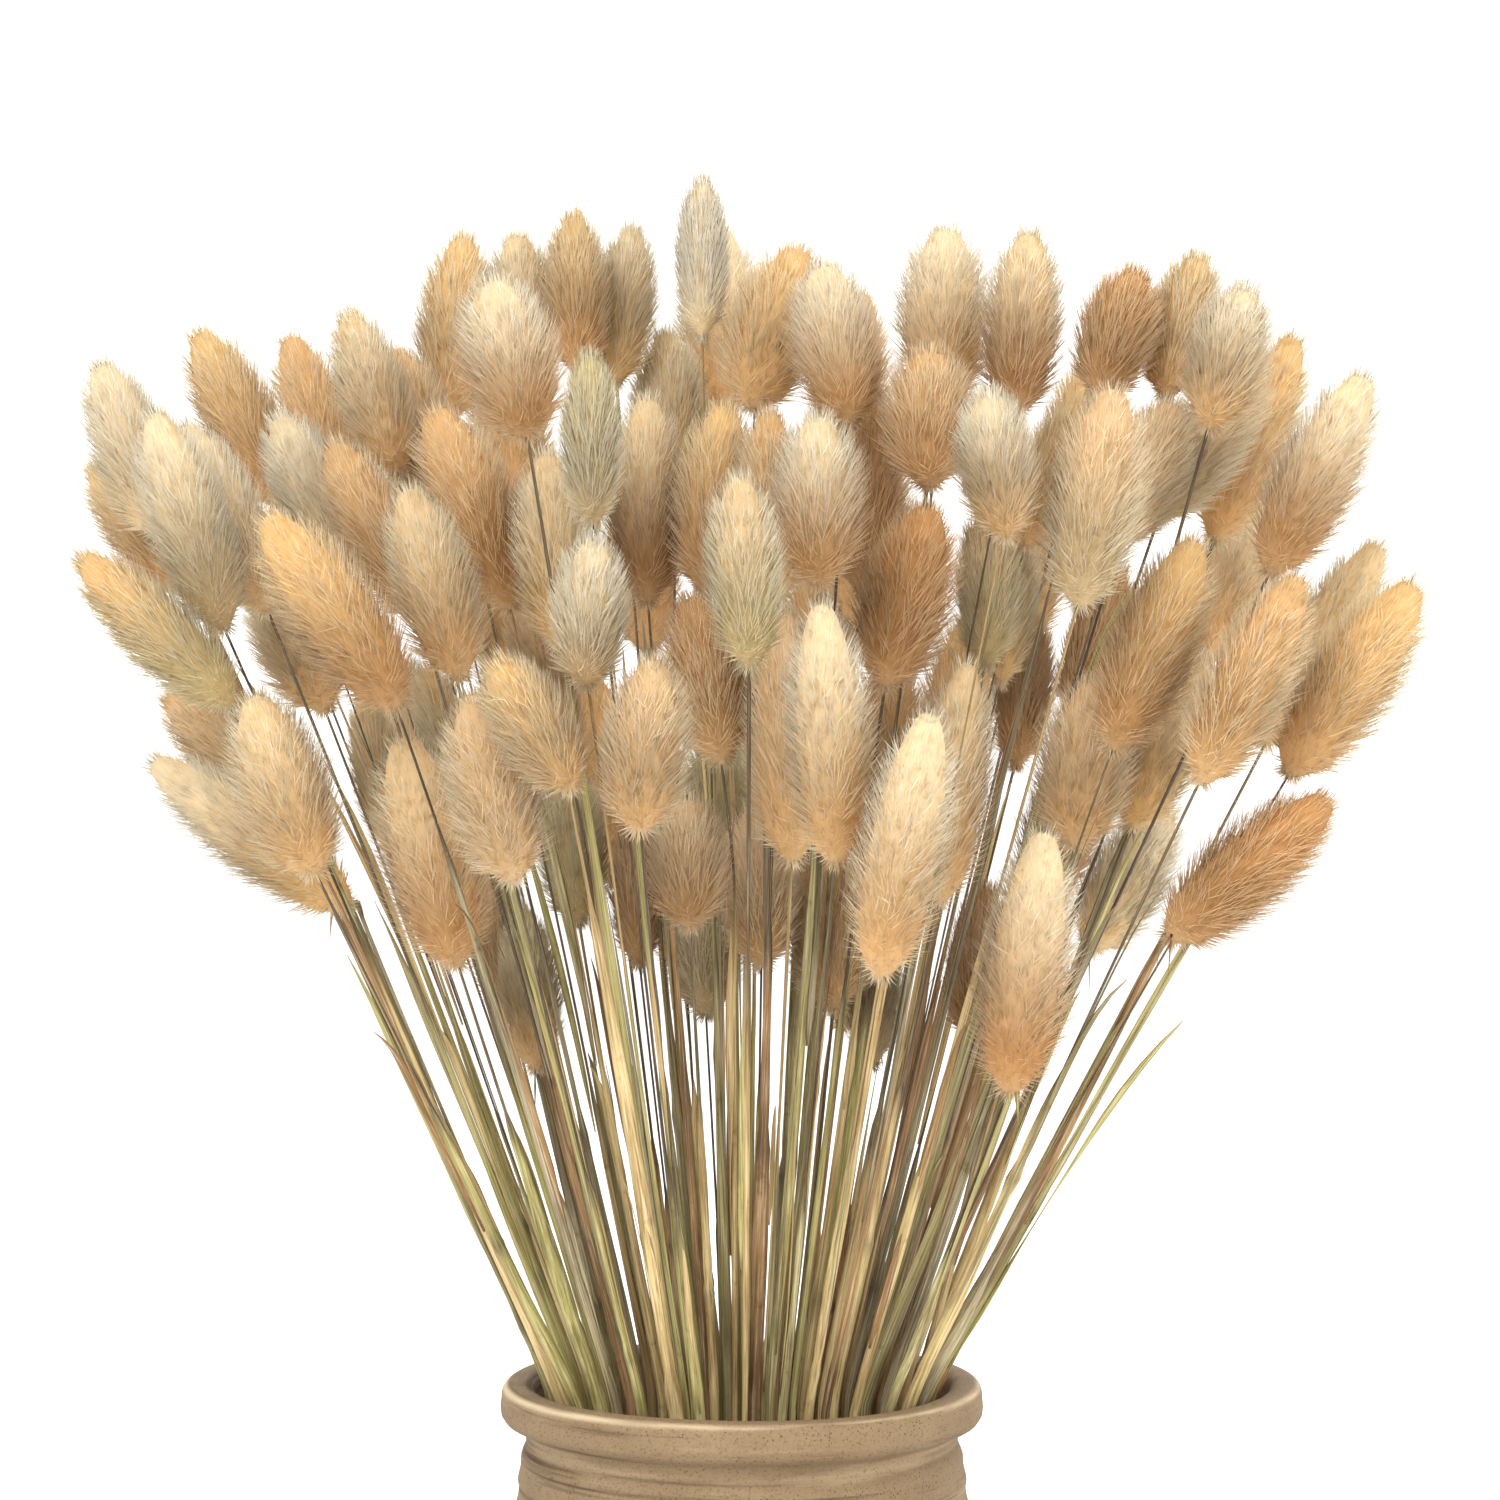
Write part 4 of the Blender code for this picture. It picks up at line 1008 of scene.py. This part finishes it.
strawLook = {
    "streaks": (1.5, 4, 0.65),
    "broad": (0.7, 2, 0.5),
    "patches": (120, 4, 0.65),
    "dark": (0.42, 0.36, 0.28),
    "pale": (0.85, 0.75, 0.52, 1),
    "paleShare": 0.4,
    "olive": (0.82, 0.84, 0.7),
    "spots": (0.6, 0.5, 0.4),
    "finish": {"Roughness": 0.62, "Specular IOR Level": 0.35},
}


def strawMaterial():
    material, tree, shader = newMaterial("dry_straw", strawLook["finish"])
    tint = keptOf(tree, "strawColour", "Color")
    grain = keptOf(tree, "grainPlace", "Vector")
    streaks = noiseOf(tree, grain, *strawLook["streaks"])
    broad = noiseOf(tree, grain, *strawLook["broad"])
    patches = noiseOf(tree, addNode(tree, "TexCoord").outputs["Object"], *strawLook["patches"])
    colour = stained(tree, tint, streaks, 0.48, 0.68, strawLook["dark"])
    paler = mixColour(tree, strawLook["paleShare"], tint, strawLook["pale"])
    colour = mixColour(tree, rampOf(tree, streaks, 0.46, 0.3), colour, paler)
    colour = stained(tree, colour, broad, 0.48, 0.6, strawLook["olive"])
    colour = stained(tree, colour, patches, 0.62, 0.74, strawLook["spots"])
    feed(tree, shader.inputs["Base Color"], colour)
    addBumps(tree, shader, (streaks, 0.5, 0.0002, False))
    return material


stalkNodes = [f"stalks_{number + 1:02d}" for number in range(bouquet["bunches"])]
straw = strawMaterial()
addPiece("dry_stems", makeSheaths(), straw, stalkNodes)
addPiece("dry_blades", makeBlades(), straw, stalkNodes)
print("stems and blades grown")


furForm = {
    "seed": 5,
    "hairs": 1820,
    "headsPerPiece": 22,
    "fullness": 1.16,
    "hairHalfWidth": 0.165 * mm,
    "coreShare": 0.66,
    "coreSides": 14,
    "coreRings": 11,
    "reach": 1.03,
    "unevenReach": 0.1,
    "sweep": 8.6 * mm,
    "unevenSweep": 0.16,
    "tuft": 0.14,
    "tufts": 90,
    "stray": 0.07,
    "rootDarkness": (0.22, 0.5),  # where the lower shade ends along a head, and how slowly
}
furShades = {  # the hairs' tips and roots
    "ivory": ((255, 252, 240), (253, 232, 188)),
    "cream": ((255, 250, 230), (250, 221, 168)),
    "gold": ((255, 243, 212), (243, 203, 133)),
    "tan": ((255, 240, 210), (234, 190, 125)),
    "pink": ((255, 242, 214), (238, 204, 154)),
    "russet": ((250, 222, 180), (214, 159, 94)),
    "brown": ((250, 222, 184), (206, 158, 97)),
    "umber": ((240, 206, 164), (180, 131, 79)),
    "olive": ((252, 246, 218), (224, 203, 144)),
    "grey": ((248, 240, 218), (214, 190, 142)),
}


# The width of a head along its length, widest a little below the middle.
def spindle(share):
    return np.sin(math.pi * np.clip(share, 0, 1) ** 0.82) ** 0.43


def headFrame(k):
    base, tip = stalks["base"][k], stalks["tip"][k]
    length = float(np.linalg.norm(tip - base))
    axis = (tip - base) / length
    side = np.cross(axis, [0.0, 1.0, 0.0])
    side /= np.linalg.norm(side)
    return base, axis, side, np.cross(axis, side), length


# The way straight out from a head's axis at this turn.
def outward(headAt, turn):
    return headAt[2] * np.cos(turn)[..., None] + headAt[3] * np.sin(turn)[..., None]


# Points of a head: out from its axis by the radius at this turn, and up it by this height.
def onHead(headAt, radius, height, turn):
    return headAt[0] + headAt[1] * height[..., None] + outward(headAt, turn) * radius[..., None]


# The way the fur faces at a point: square to an oval as long and as wide as the head.
def furNormal(headAt, wide, height, turn):
    lean = (height - headAt[4] * 0.45) / (headAt[4] * 0.55) ** 2 * wide
    normal = outward(headAt, turn) + headAt[1] * lean[..., None]
    return normal / size(normal)[..., None]


# The tip's and the root's colour: the upper shade fades to the lower, with a band of painted shade and a
# painted glow at the foot.
def furTone(headAt, random, height, turn, words, uneven=0):
    share = height / headAt[4]
    fadeEnd, fade = furForm["rootDarkness"]
    blend = np.clip((share - fadeEnd) / fade + uneven, 0, 1)[:, None]
    # Painted shade of the deep fur: a darker band a third of the way up the head, deepest on one side.
    shadedSide = random.uniform(0, 2 * math.pi)
    depth = random.uniform(0.1, 0.42)
    dark = np.exp(-(((share - 0.36) / 0.2) ** 2)) * (0.55 + 0.45 * np.cos(turn - shadedSide)) * depth
    dark = dark[:, None] * np.array([0.9, 1.0, 1.15])
    # Painted glow of light through the thin hairs at the foot: the colour blends towards cream there.
    footGlow = 0.5 * np.exp(-((height / (0.12 * headAt[4])) ** 2))[:, None]
    shades = []
    for part in (0, 1):
        upper, lower, pale = (linear(furShades[word][part]) for word in (*words, "cream"))
        shade = (lower * (1 - blend) + upper * blend) * (1 - dark)
        shades.append(shade + (pale - shade) * footGlow)
    return shades


# Even places over the core: heights drawn by the girth there, and turns by the golden angle.
def rootSpread(random, count):
    share = np.linspace(0, 1, 200)
    girth = spindle(share * 0.96 + 0.02) + 0.25 + 1.4 * np.exp(-((share / 0.06) ** 2))
    weight = np.cumsum(girth)
    drawn = (np.arange(count) + random.uniform(0, 1, count)) / count * weight[-1]
    turn = np.arange(count) * goldenTurn + random.normal(0, 0.25, count)
    return np.interp(drawn, weight, share), turn


# The core's radius at a height: the head's outline, smaller, and drawn in towards the stem.
def coreRadius(height, length, wide):
    drawn = np.clip(height / (6 * mm), 0.08, 1) ** 0.5
    return wide * furForm["coreShare"] * spindle(height / (length - 1.4 * mm)) * drawn


# A hair's root on the core and its tip on the fur's outline, swept up towards the head's tip.
def hairEnds(share, turn, length, wide, sweep, spread):
    coreEnd = length - 2.4 * mm
    low = 1.2 * mm + (coreEnd - 1.2 * mm) * share
    rise = (sweep + 2.8 * mm) * np.clip(share / 0.3, 0, 1) ** 0.8 * (1 - 0.45 * share**3)
    high = low + (-2.8 * mm + rise)
    out = wide * spindle(np.clip(high / (length + 1.6 * mm), 0.02, 0.972)) * spread
    inward = np.linspace(0.1, 1, 37)[np.arange(len(share)) % 37] ** 0.6  # fills both ends of the head
    ends = np.where((share > 0.84) | (share < 0.07), inward, 1)
    return (coreRadius(low, length, wide) * 0.92 * ends, low, turn), (out * ends, high, turn)


# Where a point of a head lies in the pattern of strands: round the head in a circle, and slowly up it.
def strandPlace(k, height, turn):
    return np.stack([9 * np.cos(turn) + 31 * k, 9 * np.sin(turn), height / (5 * mm)], -1)


# Thin four-faced spikes in place of a head's hairs, their tips drawn into tufts.
def makeHairs(k, random, headAt, wide, words):
    count, tufts, length = furForm["hairs"], furForm["tufts"], headAt[4]
    share, turn = rootSpread(random, count)
    spread = furForm["reach"] + random.normal(0, furForm["unevenReach"], count)
    sweep = furForm["sweep"] * (1 + random.normal(0, furForm["unevenSweep"], count))
    stray = random.uniform(0, 1, count) < furForm["stray"]
    spread = np.where(stray, spread * 1.1, spread)
    rootAt, tipAt = hairEnds(share, turn, length, wide, sweep, spread)
    tipTurn = tipAt[2] + random.normal(0, 0.14, count)
    root, tip = onHead(headAt, *rootAt), onHead(headAt, *tipAt[:2], tipTurn)
    tuftSweep = furForm["sweep"] * 1.1
    _, tuftAt = hairEnds(*rootSpread(random, tufts), length, wide, tuftSweep, furForm["reach"])
    tuft = onHead(headAt, *tuftAt)
    near = np.argmin(size(tip[:, None] - tuft[None]), 1)
    pull = furForm["tuft"] * random.uniform(0.4, 1.3, count) * ~stray
    tip = tip + (tuft[near] - tip) * pull[:, None]
    way = (tip - root) / size(tip - root)[:, None]
    side = np.cross(way, headAt[1] + 0.3)
    side /= size(side)[:, None]
    up = np.cross(way, side)
    half = furForm["hairHalfWidth"] * random.uniform(0.7, 1.3, count) * np.where(stray, 0.7, 1)
    corner = (2 * math.pi * np.arange(3) / 3)[:, None]
    foot = side[:, None] * np.cos(corner) + up[:, None] * np.sin(corner)
    places = np.concatenate([root[:, None] + foot * half[:, None, None], tip[:, None]], 1)
    spike = np.array([(0, 2, 1), (0, 1, 3), (1, 2, 3), (2, 0, 3)])
    triangles = (np.arange(count)[:, None, None] * 4 + spike).reshape(-1, 3)
    uneven = random.normal(0, 0.12, count)
    tipShade, rootShade = furTone(headAt, random, rootAt[1], turn, words, uneven)
    shift = random.normal(1, 0.06, (count, 1))
    lowShade = rootShade + (tipShade - rootShade) * 0.32
    colours = np.concatenate([np.repeat((lowShade * shift)[:, None], 3, 1), (tipShade * shift)[:, None]], 1)
    facing = furNormal(headAt, wide, rootAt[1], turn)[:, None]
    normals = np.concatenate([facing + 0.75 * foot, facing], 1)
    strand = np.repeat(strandPlace(k, rootAt[1], turn)[:, None], 4, 1)
    return [v.reshape(-1, 3) for v in (places, colours, normals, strand)], triangles


# The head's closed core: the spindle, smaller.
def makeCore(k, random, headAt, wide, words):
    sides, rings = furForm["coreSides"], furForm["coreRings"]
    base, axis, length = headAt[0], headAt[1], headAt[4]
    height = (0.5 - 0.49 * np.cos(np.linspace(0, math.pi, rings))) * (length - 3.6 * mm) + 1.2 * mm
    turn = np.tile(2 * math.pi * np.arange(sides) / sides, rings)
    height = np.repeat(height, sides)
    grid = onHead(headAt, coreRadius(height, length, wide), height, turn)
    tipShade, rootShade = furTone(headAt, random, height, turn, words)
    shade = (0.15 * tipShade + 0.85 * rootShade) * 0.95
    strand = strandPlace(k, height, turn)
    points = [
        np.concatenate([grid, [base + axis * 0.8 * mm, base + axis * (length - 2.2 * mm)]]),
        np.concatenate([shade, shade[:1], shade[-1:]]),
        np.concatenate([furNormal(headAt, wide, height, turn), [-axis, axis]]),
        np.concatenate([strand, strand[:1], strand[-1:]]),
    ]
    return points, *tubeFaces(rings, sides)


furLook = {
    "patches": (260, 3, 0.6),
    "strands": (1.6, 3, 0.6),
    "patchStain": (0.86, 0.81, 0.72),
    "strandStain": (0.80, 0.73, 0.60),
    "translucent": 0.54,
    "finish": {
        "Roughness": 0.85,
        "Specular IOR Level": 0.15,
        "Sheen Weight": 0.2,
        "Sheen Roughness": 0.5,
        "Sheen Tint": (1.0, 0.93, 0.8, 1),
    },
}


def furMaterial():
    material, tree, shader = newMaterial("soft_fur", furLook["finish"])
    colour = keptOf(tree, "furColour", "Color")
    patches = noiseOf(tree, addNode(tree, "TexCoord").outputs["Object"], *furLook["patches"])
    strands = noiseOf(tree, keptOf(tree, "strandPlace", "Vector"), *furLook["strands"])
    colour = stained(tree, colour, patches, 0.5, 0.72, furLook["patchStain"])
    colour = stained(tree, colour, strands, 0.5, 0.72, furLook["strandStain"])
    feed(tree, shader.inputs["Base Color"], colour)
    glow = addNode(tree, "BsdfTranslucent", Color=colour)
    both = addNode(tree, "MixShader", Fac=furLook["translucent"])
    feed(tree, both.inputs[1], shader.outputs[0])
    feed(tree, both.inputs[2], glow.outputs[0])
    feed(tree, tree.nodes["Material Output"].inputs["Surface"], both.outputs[0])
    return material


def addFurPiece(name, heads, material):
    points, quads, triangles = [], [], []
    total = 0
    for k in heads:
        random = np.random.default_rng(furForm["seed"] * 1000 + k)
        wide = stalks["radius"][k] / bouquet["solidShare"] * furForm["fullness"]
        head = (k, random, headFrame(k), wide, stalks["words"][k][1:])
        hair, hairFaces = makeHairs(*head)
        core, coreQuads, coreFaces = makeCore(*head)
        points += [hair, core]
        middle = total + len(hair[0])
        triangles += [hairFaces + total, coreFaces + middle]
        quads.append(coreQuads + middle)
        total = middle + len(core[0])
    places, colours, normals, strands = (np.concatenate(v) for v in zip(*points))
    mesh = meshFromArrays(name, places, np.concatenate(quads), np.concatenate(triangles))
    keepAtPoints(mesh, "furColour", "FLOAT_COLOR", colours)
    keepAtPoints(mesh, "strandPlace", "FLOAT_VECTOR", strands)
    mesh.normals_split_custom_set_from_vertices((normals / size(normals)[:, None]).tolist())
    nodes = sorted({stalkNodes[stalks["bunch"][k]] for k in heads})
    addPiece(name, mesh, material, nodes)


fur = furMaterial()
for tone in tones:
    heads = [k for k in range(stalkCount) if stalks["words"][k][0] == tone]
    parts = math.ceil(len(heads) / furForm["headsPerPiece"])
    for part in range(parts):
        addFurPiece(f"fur_{tone}_{part + 1}", heads[part::parts], fur)
print("fur grown on", stalkCount, "heads")
